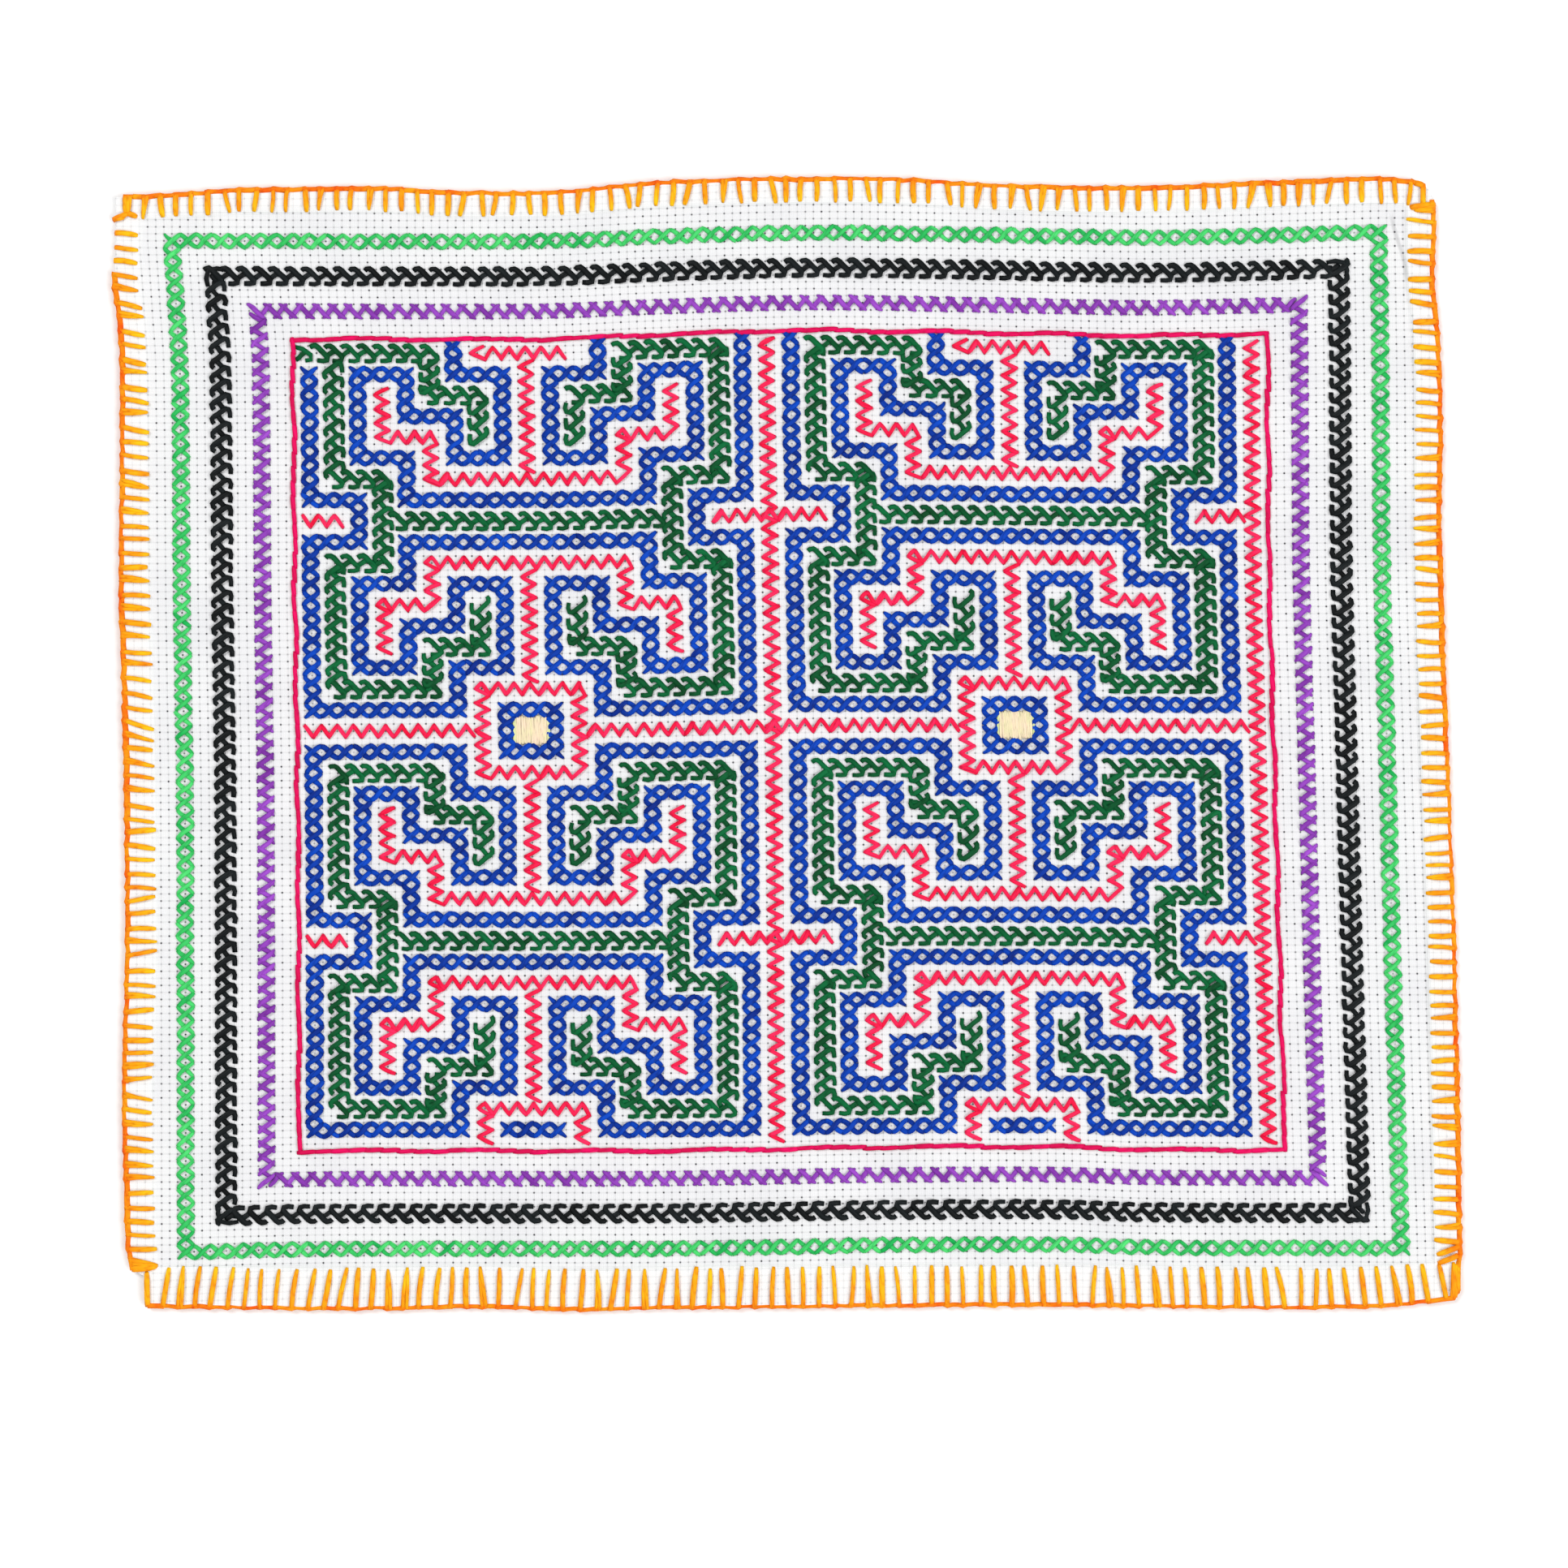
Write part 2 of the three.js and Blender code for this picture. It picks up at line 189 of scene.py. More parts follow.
@dataclass(frozen=True)
class Weave:
    """The cloth's squares as they really lie: a grid that leans sideways and lifts a little."""

    square_w: float = 2.09
    square_h: float = 1.81
    left: float = -123.1
    top: float = 101.1
    lean: tuple[Line, Line, Line] = (
        Line(((-16, -2.7), (-6, -1.5), (2, -0.6), (37, -0.05), (66, 0.7), (128, 0.95))),
        Line(((-16, -1.8), (6, -1.35), (37, -0.25), (63, 0.5), (101, 1.1), (128, 1.5))),
        Line(((-16, -1.9), (2, -1.4), (31, -1), (54, 0.15), (89, 1.85), (128, 4))),
    )
    lift: tuple[Line, Line, Line] = (
        Line(
            (
                (-16, 0.2), (22, 0), (32, 0.2), (42, 1.1), (62, 2.3), (82, 1.8), (102, 1), (112, 1.2),
                (133, 2.5),
            )
        ),
        Line(((-16, -0.3), (13, 0.1), (39, 0.35), (63, 1.5), (99, 1.5), (133, 1.2))),
        Line(((-16, -0.8), (2, 0), (42, 0.1), (72, 1.05), (92, 1.1), (102, 0.4), (133, 0.2))),
    )  # fmt: skip

    @staticmethod
    def _between(lines: tuple[Line, Line, Line], at: np.ndarray, share: np.ndarray) -> np.ndarray:
        """Reads three lines that lie side by side.

        Args:
            lines: The first, middle and last line.
            at: The stations along them.
            share: How far over from the first line to the last, from 0 to 1.

        Returns:
            The values there.
        """
        first, middle, last = (line.at(at) for line in lines)
        near = first + (middle - first) * 2 * share
        far = middle + (last - middle) * (2 * share - 1)
        return np.where(share < 0.5, near, far)

    def place(self, u: np.ndarray, v: np.ndarray) -> tuple[np.ndarray, np.ndarray]:
        """Finds where squares of the weave lie.

        Args:
            u: Squares to the right.
            v: Squares down.

        Returns:
            Their x and y in millimetres.
        """
        across = np.clip((u - FRAME.left) / (FRAME.right - FRAME.left), 0, 1)
        down = np.clip((v - FRAME.top) / (FRAME.bottom - FRAME.top), 0, 1)
        x = self.left + u * self.square_w + self._between(self.lean, v, across)
        y = self.top - v * self.square_h + self._between(self.lift, u, down)
        return x, y

    def squares(self, x: np.ndarray, y: np.ndarray) -> tuple[np.ndarray, np.ndarray]:
        """Finds which squares lie at a place, by drawing nearer a few times.

        Args:
            x: Millimetres to the right.
            y: Millimetres up.

        Returns:
            Squares to the right and down.
        """
        u, v = (x - self.left) / self.square_w, (self.top - y) / self.square_h
        for _ in range(4):
            at_x, at_y = self.place(u, v)
            u, v = u + (x - at_x) / self.square_w, v - (y - at_y) / self.square_h
        return u, v


@dataclass(frozen=True)
class Side:
    """One side of the cloth: its outer line and how it is stitched.

    The stitches go from start to end, a few squares of the weave apart. Cord is the edge thread's width,
    and leg and lean give the legs' length and how far their tips lean, place by place.
    """

    line: Line
    start: float
    end: float
    inward: tuple[int, int]
    square: float
    cord: float
    leg: Line
    lean: Line

    def hem(self, x: np.ndarray, y: np.ndarray) -> np.ndarray:
        """Gives the width of the folded hem beside each place, which the stitches just span."""
        return self.leg.at(x if self.inward[0] == 0 else y) + HEM_PAST

    def point(self, station: float, inset: float) -> Spot:
        """Gives a point of the side.

        Args:
            station: Its place along the side, in millimetres.
            inset: How far in from the line it lies.

        Returns:
            Its x and y.
        """
        edge = float(self.line.at(np.array(station)))
        x, y = (station, edge) if self.inward[0] == 0 else (edge, station)
        return x + self.inward[0] * inset, y + self.inward[1] * inset

    def stations(self, step: float) -> list[float]:
        """Gives even stations from the side's start to its end, at most a step apart."""
        count = math.ceil(abs(self.end - self.start) / step)
        return [self.start + (self.end - self.start) * k / count for k in range(count + 1)]

    def depth(self, x: np.ndarray, y: np.ndarray) -> np.ndarray:
        """Tells how far inside this side's line places lie.

        Args:
            x: Millimetres to the right.
            y: Millimetres up.

        Returns:
            The depths in millimetres.
        """
        if self.inward[0] == 0:
            return (y - self.line.at(x)) * self.inward[1]
        return (x - self.line.at(y)) * self.inward[0]


@dataclass(frozen=True)
class Outline:
    """The stitched edge's four sides."""

    top: Side = Side(
        Line(
            (
                (-174, 142.2), (-166, 142.2), (-158, 142.8), (-140, 143.9), (-104, 144.2), (-88, 143.2),
                (-60, 143.3), (-28, 146), (24, 146.7), (57, 144.9), (90, 144.5), (150, 146.7), (160, 146.4),
                (165, 145), (167.5, 142),
            )
        ),
        -166.3, 161.2, (0, -1), 2.09, 1.3, Line(((-166, 6.3), (0, 6.5), (160, 6.8))),
        Line(((-170, 0.6), (-150, 0), (160, 0))),
    )  # fmt: skip
    right: Side = Side(
        Line(
            (
                (-143.5, 172.8), (-141, 174.2), (-126, 174.5), (-62, 173.2), (-1, 171), (54, 169.3),
                (88, 169.4), (111, 168.4), (120, 167.4), (140, 167.8), (145, 166),
            )
        ),
        134.8, -128.8, (-1, 0), 1.81, 1.4, Line(((-130, 7.1), (60, 7.0), (110, 6.7), (135, 7.5))),
        Line(((-130, 0.3), (0, 0), (110, 0.6), (140, 0.3))),
    )  # fmt: skip
    bottom: Side = Side(
        Line(
            (
                (-166, -145.9), (-140, -146.3), (-112, -146.5), (-77, -146.1), (-55, -146.8),
                (-27, -146.2), (60, -145.6), (118, -146.1), (149, -146), (160, -145.3), (168, -144.4),
                (173, -143.5),
            )
        ),
        165.8, -161.5, (0, 1), 2.09, 1.15, Line(((-160, 10.9), (166, 10.7))),
        Line(((-160, 1.5), (-100, 0.7), (0, 0.1), (100, -0.7), (166, -1.5))),
    )  # fmt: skip
    left: Side = Side(
        Line(
            (
                (-137, -165.9), (-136.3, -169.8), (-130, -170.9), (-120, -171.3), (-89, -171.9),
                (-51, -171.1), (12, -172), (44, -172.8), (84, -172.4), (109, -173), (119, -174.6),
                (130, -174.2), (142, -174.4),
            )
        ),
        -130.5, 132.2, (1, 0), 1.81, 1.5, Line(((-130, 7.7), (20, 7.8), (100, 6.9), (132, 6.4))),
        Line(
            ((-130, 0.1), (-45, 0), (-14, -1.1), (16, -1.1), (36, -0.3), (60, -0.6), (115, -1.2), (130, -0.8))
        ),
    )  # fmt: skip

    @property
    def sides(self) -> tuple[Side, Side, Side, Side]:
        """Gives the sides clockwise, from the top."""
        return self.top, self.right, self.bottom, self.left

    def hem(self, x: np.ndarray, y: np.ndarray) -> np.ndarray:
        """Tells how far the hem's fold has risen at each place.

        Args:
            x: Millimetres to the right.
            y: Millimetres up.

        Returns:
            Shares from 0 on the single cloth to 1 on the hem.
        """
        past = [side.hem(x, y) + FOLD_OUT - side.depth(x, y) for side in self.sides]
        return np.max([ease(distance / FOLD_SLOPE) for distance in past], axis=0)


@dataclass(frozen=True)
class Surface:
    """The face of the laid cloth that the threads lie on."""

    weave: Weave = Weave()
    outline: Outline = Outline()
    ripple: float = 0.07

    def rise(self, x: np.ndarray, y: np.ndarray) -> np.ndarray:
        """Gives the laid cloth's slight unevenness, as two slow waves and two quick ones.

        Args:
            x: Millimetres to the right.
            y: Millimetres up.

        Returns:
            The rise in millimetres, which may be below 0.
        """
        slow = np.sin(0.052 * x + 0.031 * y) + np.sin(0.047 * y - 0.024 * x + 1)
        quick = 0.5 * np.sin(0.19 * x - 0.06 * y) + 0.5 * np.sin(0.17 * y + 0.05 * x + 2)
        return self.ripple * (slow + quick)

    def top(self, x: np.ndarray, y: np.ndarray) -> np.ndarray:
        """Gives the height of the upper face, in millimetres."""
        return CLOTH_TOP + (HEM_TOP - CLOTH_TOP) * self.outline.hem(x, y) + self.rise(x, y)


class Stock:
    """A straight thread, made once for each number of steps, that every stitch is a bent copy of."""

    def __init__(self, sides: int, steps: int) -> None:
        """Draws a ring out step by step and reads the closed thread.

        Args:
            sides: Corners of its section.
            steps: Steps along it.
        """
        deselect_all()
        bpy.ops.mesh.primitive_circle_add(vertices=sides, radius=1, fill_type="NGON")
        thread = bpy.context.object
        draw_up(steps)
        self._read(thread.data, sides)
        mesh = thread.data
        bpy.data.objects.remove(thread)
        bpy.data.meshes.remove(mesh)

    def _read(self, mesh: bpy.types.Mesh, sides: int) -> None:
        """Keeps the thread's section, rings and faces.

        Args:
            mesh: The straight thread, one unit a step, along z.
            sides: Corners of its section.
        """
        places = np.array([vertex.co for vertex in mesh.vertices])
        self.across, self.above = places[:, 0] / places[:, 0].max(), places[:, 1] / places[:, 1].max()
        self.ring = np.round(places[:, 2]).astype(int)
        corner = np.round(np.arctan2(places[:, 1], places[:, 0]) / math.tau * sides).astype(int) % sides
        faces = [list(face.vertices) for face in mesh.polygons]
        self.walls = np.array([face for face in faces if len(set(self.ring[face])) == 2])
        self.caps = np.array([face for face in faces if len(set(self.ring[face])) == 1])
        turns = corner[self.walls]
        wraps = (turns.max(axis=1) - turns.min(axis=1) > 1)[:, None] & (turns == 0)
        self.wall_turn = (turns + sides * wraps) / sides
        self.cap_turn = corner[self.caps] / sides


@lru_cache(maxsize=None)
def stock(sides: int, steps: int) -> Stock:
    """Gives the straight thread with this many sides and steps, made when first asked for."""
    return Stock(sides, steps)


@lru_cache(maxsize=None)
def smoothing(controls: int, rings: int) -> np.ndarray:
    """Works out how much each control point counts at each ring of a smooth line through them.

    Args:
        controls: The number of control points.
        rings: The number of rings, evenly spread.

    Returns:
        A row of weights for each ring.
    """
    weights = np.zeros((rings, controls))
    for row, t in enumerate(np.linspace(0, controls - 1, rings)):
        k = min(int(t), controls - 2)
        f = t - k
        shares = (
            -0.5 * f + f**2 - 0.5 * f**3,
            1 - 2.5 * f**2 + 1.5 * f**3,
            0.5 * f + 2 * f**2 - 1.5 * f**3,
            0.5 * (f**3 - f**2),
        )
        for offset, share in zip((-1, 0, 1, 2), shares):
            weights[row, min(max(k + offset, 0), controls - 1)] += share
    return weights


@dataclass(frozen=True)
class Floss:
    """A thread's size in millimetres: its width, its height, and the share of them left at its two ends."""

    width: float
    height: float
    first: float
    last: float
    sides: int
    steps: int


# A thread under the cloth: its size, its depth under the face in millimetres, and the squares that it may be
# carried over from one stitch to the next
BACK = Floss(0.8, 0.28, 0.9, 0.9, 4, 2)
BACK_DROP = 0.74
CARRIED = (0.6, 4.6)

# Every strand: the largest share that chance swells or shrinks it by, the parts of its length of which the
# first and the last narrow, and the most millimetres that its plies are shifted by
SWELLING = 0.09
TAPERED_PARTS = 3
PLY_SHIFT = 9


class Needlework:
    """The stitches of one piece, gathered and then made as one mesh."""

    def __init__(self, name: str, surface: Surface, seed: int, counted: bool = True) -> None:
        """Starts a piece with no stitches.

        Args:
            name: The piece's name.
            surface: The cloth's face under it.
            seed: Start of its own row of small chances.
            counted: Whether its stitches are placed by squares of the weave, with heights over the cloth,
                and not by millimetres.
        """
        self.name = name
        self.surface = surface
        self.chance = np.random.default_rng(seed)
        self.counted = counted
        self.strands: dict[tuple[int, Floss], list[Strand]] = {}
        self.needle: np.ndarray | None = None

    def sew(
        self, points: list[tuple[float, float, float]], floss: Floss, tones: tuple[float, float] | None = None
    ) -> None:
        """Adds one strand.

        Args:
            points: The places that it passes, each with its height in millimetres.
            floss: The thread's size.
            tones: Its shade at its start and end, from 0 to 1, or one by chance.
        """
        shade = self.chance.uniform(0, 1)
        start, end = tones if tones else (shade, shade)
        swell = 1 + self.chance.uniform(-SWELLING, SWELLING)
        control = np.array(points, float)
        self.strands.setdefault((len(control), floss), []).append((control, start, end, swell))
        if self.counted:
            self._carry(control[0, :2])
            self.needle = control[-1, :2]

    def _carry(self, hole: np.ndarray) -> None:
        """Carries the thread under the cloth from the last strand's end, unless that is far off.

        Args:
            hole: Where it comes up again.
        """
        if self.needle is None:
            return
        gap = hole - self.needle
        if CARRIED[0] < math.hypot(*gap) < CARRIED[1]:
            under = np.array([(*(self.needle + gap * t), -BACK_DROP) for t in (0.0, 0.5, 1.0)])
            self.strands.setdefault((len(under), BACK), []).append((under, 0.5, 0.5, 1.0))

    def jitter(self, amount: float) -> float:
        """Gives a small chance length either way."""
        return float(self.chance.uniform(-amount, amount))

    def _paths(self, controls: np.ndarray, rings: int) -> np.ndarray:
        """Runs smooth lines through control points and lays them on the cloth.

        Args:
            controls: Each strand's control points.
            rings: How many points each line gets.

        Returns:
            The lines' points in millimetres.
        """
        paths = np.einsum("rc,ncd->nrd", smoothing(controls.shape[1], rings), controls)
        if self.counted:
            x, y = self.surface.weave.place(paths[..., 0], paths[..., 1])
            z = self.surface.top(x, y) + paths[..., 2]
            paths = np.stack([x, y, z], axis=-1)
        return paths

    @staticmethod
    def _axes(paths: np.ndarray) -> tuple[np.ndarray, np.ndarray]:
        """Gives each ring's level sideways axis and its upward one, both square to the thread.

        Args:
            paths: The lines' points.

        Returns:
            The sideways and the upward axes.
        """
        along = np.gradient(paths, axis=1)
        along /= np.linalg.norm(along, axis=-1, keepdims=True) + 1e-9
        side = np.stack([-along[..., 1], along[..., 0], np.zeros(along.shape[:2])], axis=-1)
        side /= np.linalg.norm(side, axis=-1, keepdims=True) + 1e-9
        return side, np.cross(along, side)

    def _tubes(self, floss: Floss, rows: list[Strand]) -> dict[str, np.ndarray]:
        """Bends copies of the straight thread along one kind of strand.

        Args:
            floss: The thread's size.
            rows: The strands' control points, tones and swellings.

        Returns:
            The copies' points, tones, faces and the places of their faces' corners on the thread.
        """
        shape = stock(floss.sides, floss.steps)
        paths = self._paths(np.stack([row[0] for row in rows]), floss.steps + 1)
        side, up = self._axes(paths)
        share = np.linspace(0, 1, floss.steps + 1)
        at_first, at_last = 1 - ease(share * TAPERED_PARTS), 1 - ease((1 - share) * TAPERED_PARTS)
        thin = 1 - (1 - floss.first) * at_first - (1 - floss.last) * at_last
        swell = np.array([row[3] for row in rows])[:, None, None] * thin[shape.ring][None, :, None] / 2
        across = side[:, shape.ring] * shape.across[None, :, None] * floss.width * swell
        above = up[:, shape.ring] * shape.above[None, :, None] * floss.height * swell
        points = paths[:, shape.ring] + across + above
        run = np.linalg.norm(np.diff(paths, axis=1), axis=-1).cumsum(axis=1)
        shift = self.chance.uniform(0, PLY_SHIFT, (len(rows), 1))
        run = np.concatenate([np.zeros((len(rows), 1)), run], axis=1) + shift
        tones = np.array([row[1:3] for row in rows])
        tone = tones[:, :1] + (tones[:, 1:] - tones[:, :1]) * share[shape.ring][None]
        step = np.arange(len(rows))[:, None, None] * len(shape.ring)
        return {
            "points": points.reshape(-1, 3),
            "tone": tone.ravel(),
            "walls": (shape.walls[None] + step).reshape(-1, 4),
            "caps": (shape.caps[None] + step).reshape(-1, floss.sides),
            "wall_uv": self._thread_places(run, shape.ring[shape.walls], shape.wall_turn),
            "cap_uv": self._thread_places(run, shape.ring[shape.caps], shape.cap_turn),
        }

    @staticmethod
    def _thread_places(run: np.ndarray, rings: np.ndarray, turns: np.ndarray) -> np.ndarray:
        """Gives faces' corners as millimetres along the thread and turns around it."""
        along = run[:, rings]
        return np.stack([along, np.broadcast_to(turns[None], along.shape)], axis=-1).reshape(-1, 2)

    def make(self) -> bpy.types.Object:
        """Makes the piece's one mesh.

        Returns:
            The new object, at the origin, with its thread places and tones.
        """
        made = [self._tubes(floss, rows) for (_, floss), rows in self.strands.items()]
        faces: list[list[int]] = []
        places: list[np.ndarray] = []
        start = 0
        for tubes in made:
            faces += (tubes["walls"] + start).tolist() + (tubes["caps"] + start).tolist()
            places += [tubes["wall_uv"], tubes["cap_uv"]]
            start += len(tubes["points"])
        mesh = bpy.data.meshes.new(self.name)
        mesh.from_pydata((np.concatenate([t["points"] for t in made]) * MM).tolist(), [], faces)
        mesh.uv_layers.new(name="thread").data.foreach_set("uv", np.concatenate(places).astype("f4").ravel())
        tone = mesh.attributes.new("tone", "FLOAT", "POINT")
        tone.data.foreach_set("value", np.concatenate([t["tone"] for t in made]).astype("f4"))
        mesh.polygons.foreach_set("use_smooth", [True] * len(mesh.polygons))
        piece = bpy.data.objects.new(self.name, mesh)
        bpy.context.scene.collection.objects.link(piece)
        return piece


@dataclass(frozen=True)
class Run:
    """A straight run of stitches: where it starts, the way it heads and how long it is, in squares."""

    u: float
    v: float
    ahead: tuple[int, int]
    length: float

    def at(self, along: float, aside: float) -> Spot:
        """Gives a place along the run and to its left."""
        du, dv = self.ahead
        return self.u + du * along + dv * aside, self.v + dv * along - du * aside


class ChainStitch:
    """Crossed stitches whose bowed arms meet as a chain of rings."""

    def __init__(self, floss: Floss, bow: float = 0.68, tip: float = 0.86) -> None:
        """Starts with no crosses.

        Args:
            floss: The thread's size.
            bow: How far out a ring's arm swings, as a share of half its width.
            tip: How far out it ends.
        """
        self.floss, self.bow, self.tip = floss, bow, tip
        self.crosses: dict[Spot, set[tuple[int, int]]] = {}
        self.reach: dict[Spot, tuple[float, float]] = {}

    def run(self, start: Spot, end: Spot, limits: Rectangle | None = None) -> None:
        """Places crosses every two squares or so along a straight line, both ends among them.

        Args:
            start: The first cross, in squares.
            end: The last cross.
            limits: Crosses outside these are left out.
        """
        length = abs(end[0] - start[0]) + abs(end[1] - start[1])
        count = max(1, round(length / STITCH))
        spots = [
            (
                round(start[0] + (end[0] - start[0]) * k / count, 4),
                round(start[1] + (end[1] - start[1]) * k / count, 4),
            )
            for k in range(count + 1)
        ]
        ahead = (int(np.sign(end[0] - start[0])), int(np.sign(end[1] - start[1])))
        kept = [spot for spot in spots if limits is None or limits.holds(*spot)]
        for spot in kept:
            self.crosses.setdefault(spot, set())
            old = self.reach.get(spot, (1.0, 1.0))
            half = length / count / 2
            self.reach[spot] = (half, old[1]) if ahead[0] else (old[0], half)
        for spot, after in zip(kept, kept[1:]):
            self.crosses[spot].add(ahead)
            self.crosses[after].add((-ahead[0], -ahead[1]))

    def _arm(self, spot: Spot, su: int, sv: int) -> tuple[Spot, Spot]:
        """Gives the bend and the end of one arm of a cross.

        Args:
            spot: The cross's middle.
            su: 1 for an arm to the right and -1 for one to the left.
            sv: 1 for an arm downwards and -1 for one upwards.

        Returns:
            The two places, in squares from the middle.
        """
        level, upright = (su, 0) in self.crosses[spot], (0, sv) in self.crosses[spot]
        half_u, half_v = self.reach[spot]
        if level and not upright:
            bend, end = (0.55, self.bow), (1.02, self.tip)
        elif upright and not level:
            bend, end = (self.bow, 0.55), (self.tip, 1.02)
        else:
            bend, end = (0.52, 0.52), (1.0, 1.0)
        return (bend[0] * su * half_u, bend[1] * sv * half_v), (end[0] * su * half_u, end[1] * sv * half_v)

    def _taper(self, spot: Spot, su: int, sv: int) -> float:
        """Gives an arm's share of width left at its tip, which is less where no ring follows."""
        joined = (su, 0) in self.crosses[spot] or (0, sv) in self.crosses[spot]
        return self.floss.first if joined else 0.5

    def sew(self, spot: Spot, work: Needlework) -> None:
        """Sews the two strands of a cross, the second over the first.

        Args:
            spot: The cross's middle.
            work: The piece that it belongs to.
        """
        u, v = spot
        shift = (work.jitter(0.09), work.jitter(0.09))
        for sign, middle in ((1, 0.3), (-1, 0.72)):
            (bend_a, end_a), (bend_b, end_b) = self._arm(spot, -1, -sign), self._arm(spot, 1, sign)
            rows = ((end_a, 0.12), (bend_a, 0.34), ((0, 0), middle), (bend_b, 0.34), (end_b, 0.12))
            points = []
            for k, ((du, dv), height) in enumerate(rows):
                loose = 0.5 if k in (0, 4) else 1.0
                points.append(
                    (
                        u + du + shift[0] * loose + work.jitter(0.06),
                        v + dv + shift[1] * loose + work.jitter(0.06),
                        height,
                    )
                )
            first, last = self._taper(spot, -1, -sign), self._taper(spot, 1, sign)
            work.sew(points, replace(self.floss, first=first, last=last))


@dataclass(frozen=True)
class FeatherStitch:
    """Hooked stitches: each hook starts on one side, crosses over and curls back on the other."""

    hook: Floss
    link: Floss
    set_back: float = 0.15
    hook_path: Course = (
        (0.0, 0.8, 0.1), (0.14, 1.04, 0.3), (0.38, 1.02, 0.42), (0.56, 0.62, 0.45), (0.8, 0.0, 0.62),
        (1.02, -0.5, 0.5), (1.06, -0.95, 0.4), (0.8, -1.14, 0.32), (0.42, -1.08, 0.1),
    )  # fmt: skip
    link_path: Course = (
        (1.0, -0.5, 0.15), (1.22, -0.12, 0.35), (1.42, 0.18, 0.4), (1.62, 0.42, 0.2),
    )  # fmt: skip
    opening: tuple[Course, Course] = (
        (
            (0.0, 0.85, 0.1), (0.35, 0.7, 0.4), (0.8, 0.05, 0.6), (1.06, -0.6, 0.5), (0.9, -1.05, 0.3),
            (0.6, -1.08, 0.1),
        ),
        ((0.0, -1.0, 0.1), (0.2, -0.7, 0.3), (0.42, -0.2, 0.4), (0.62, 0.1, 0.4), (0.8, 0.3, 0.2)),
    )  # fmt: skip

    def sew(self, run: Run, unit: float, k: int, work: Needlework, linked: bool = True) -> None:
        """Sews one hook and the link to the next.

        Args:
            run: The run that it belongs to.
            unit: The length of one hook's place, in squares.
            k: The hook's number.
            work: The piece.
            linked: Whether a hook follows.
        """
        shift = work.jitter(0.05)
        paths = [(self.hook_path, self.hook)] + ([(self.link_path, self.link)] if linked else [])
        for path, floss in paths:
            points = []
            for along, aside, height in path:
                u, v = run.at((k + along + shift) * unit - self.set_back, aside + work.jitter(0.05))
                points.append((u + work.jitter(0.04), v, height))
            work.sew(points, floss)

    def open_end(self, run: Run, unit: float, work: Needlework) -> None:
        """Sews the plain crossing that a run opens with.

        Args:
            run: The run.
            unit: The length of one hook's place, in squares.
            work: The piece.
        """
        for course in self.opening:
            points = []
            for along, aside, height in course:
                u, v = run.at(along * unit, aside)
                points.append((u, v, height))
            work.sew(points, self.link)


@dataclass(frozen=True)
class CrossedRow:
    """A close row of crossed stitches: each falling strand lies over a rising one."""

    over: Floss
    under: Floss
    set_back: float = 0.3
    falling: Course = ((0.0, 1.03, 0.1), (0.3, 0.62, 0.4), (0.8, -0.62, 0.7), (1.1, -1.04, 0.1))
    rising: Course = ((0.62, -1.0, 0.1), (0.85, -0.66, 0.3), (1.32, 0.6, 0.45), (1.54, 0.95, 0.1))

    def sew(self, run: Run, unit: float, k: int, work: Needlework) -> None:
        """Sews one pair of slanting strands.

        Args:
            run: The run that it belongs to.
            unit: The length of one pair's place, in squares.
            k: The pair's number.
            work: The piece.
        """
        for path, floss in ((self.rising, self.under), (self.falling, self.over)):
            shift = work.jitter(0.05)
            points = []
            for along, aside, height in path:
                u, v = run.at((k + along + shift) * unit - self.set_back, aside + work.jitter(0.06))
                points.append((u, v, height))
            work.sew(points, floss)


@dataclass(frozen=True)
class ZigzagRow:
    """A zigzag line: each strand goes from a hole on one side to the next hole on the other."""

    floss: Floss
    reach: float = 0.86
    doubled: float = 0.2
    path: tuple[Spot, ...] = ((-0.05, 0.1), (0.3, 0.4), (0.7, 0.42), (1.05, 0.1))

    def hole(self, level: bool, line: int, along: int) -> Spot:
        """Gives the hole at one square of a line, above or left of it and below or right of it by turns.

        Args:
            level: Whether the line is level.
            line: Its row or column.
            along: The square along it.

        Returns:
            The hole, in squares.
        """
        if level:
            return float(along), line + self.reach * (-1 if along % 2 else 1)
        return line + self.reach * (1 if along % 2 else -1), float(along)

    def sew(self, start: Spot, end: Spot, work: Needlework) -> None:
        """Sews one strand from hole to hole, now and then twice.

        Args:
            start: The first hole.
            end: The next.
            work: The piece.
        """
        for copy in range(2 if work.chance.uniform() < self.doubled else 1):
            bow = work.jitter(0.09) + 0.16 * copy
            du, dv = end[0] - start[0], end[1] - start[1]
            length = math.hypot(du, dv)
            offs = [(work.jitter(0.05) + 0.12 * copy, work.jitter(0.05)) for _ in range(2)]
            points = []
            for t, height in self.path:
                bend = bow * math.sin(math.pi * min(max(t, 0), 1)) / length
                shift = [first * (1 - t) + last * t for first, last in zip(*offs)]
                u = start[0] + du * t - dv * bend + shift[0]
                v = start[1] + dv * t + du * bend + shift[1]
                points.append((u, v, height + 0.15 * copy))
            work.sew(points, self.floss)


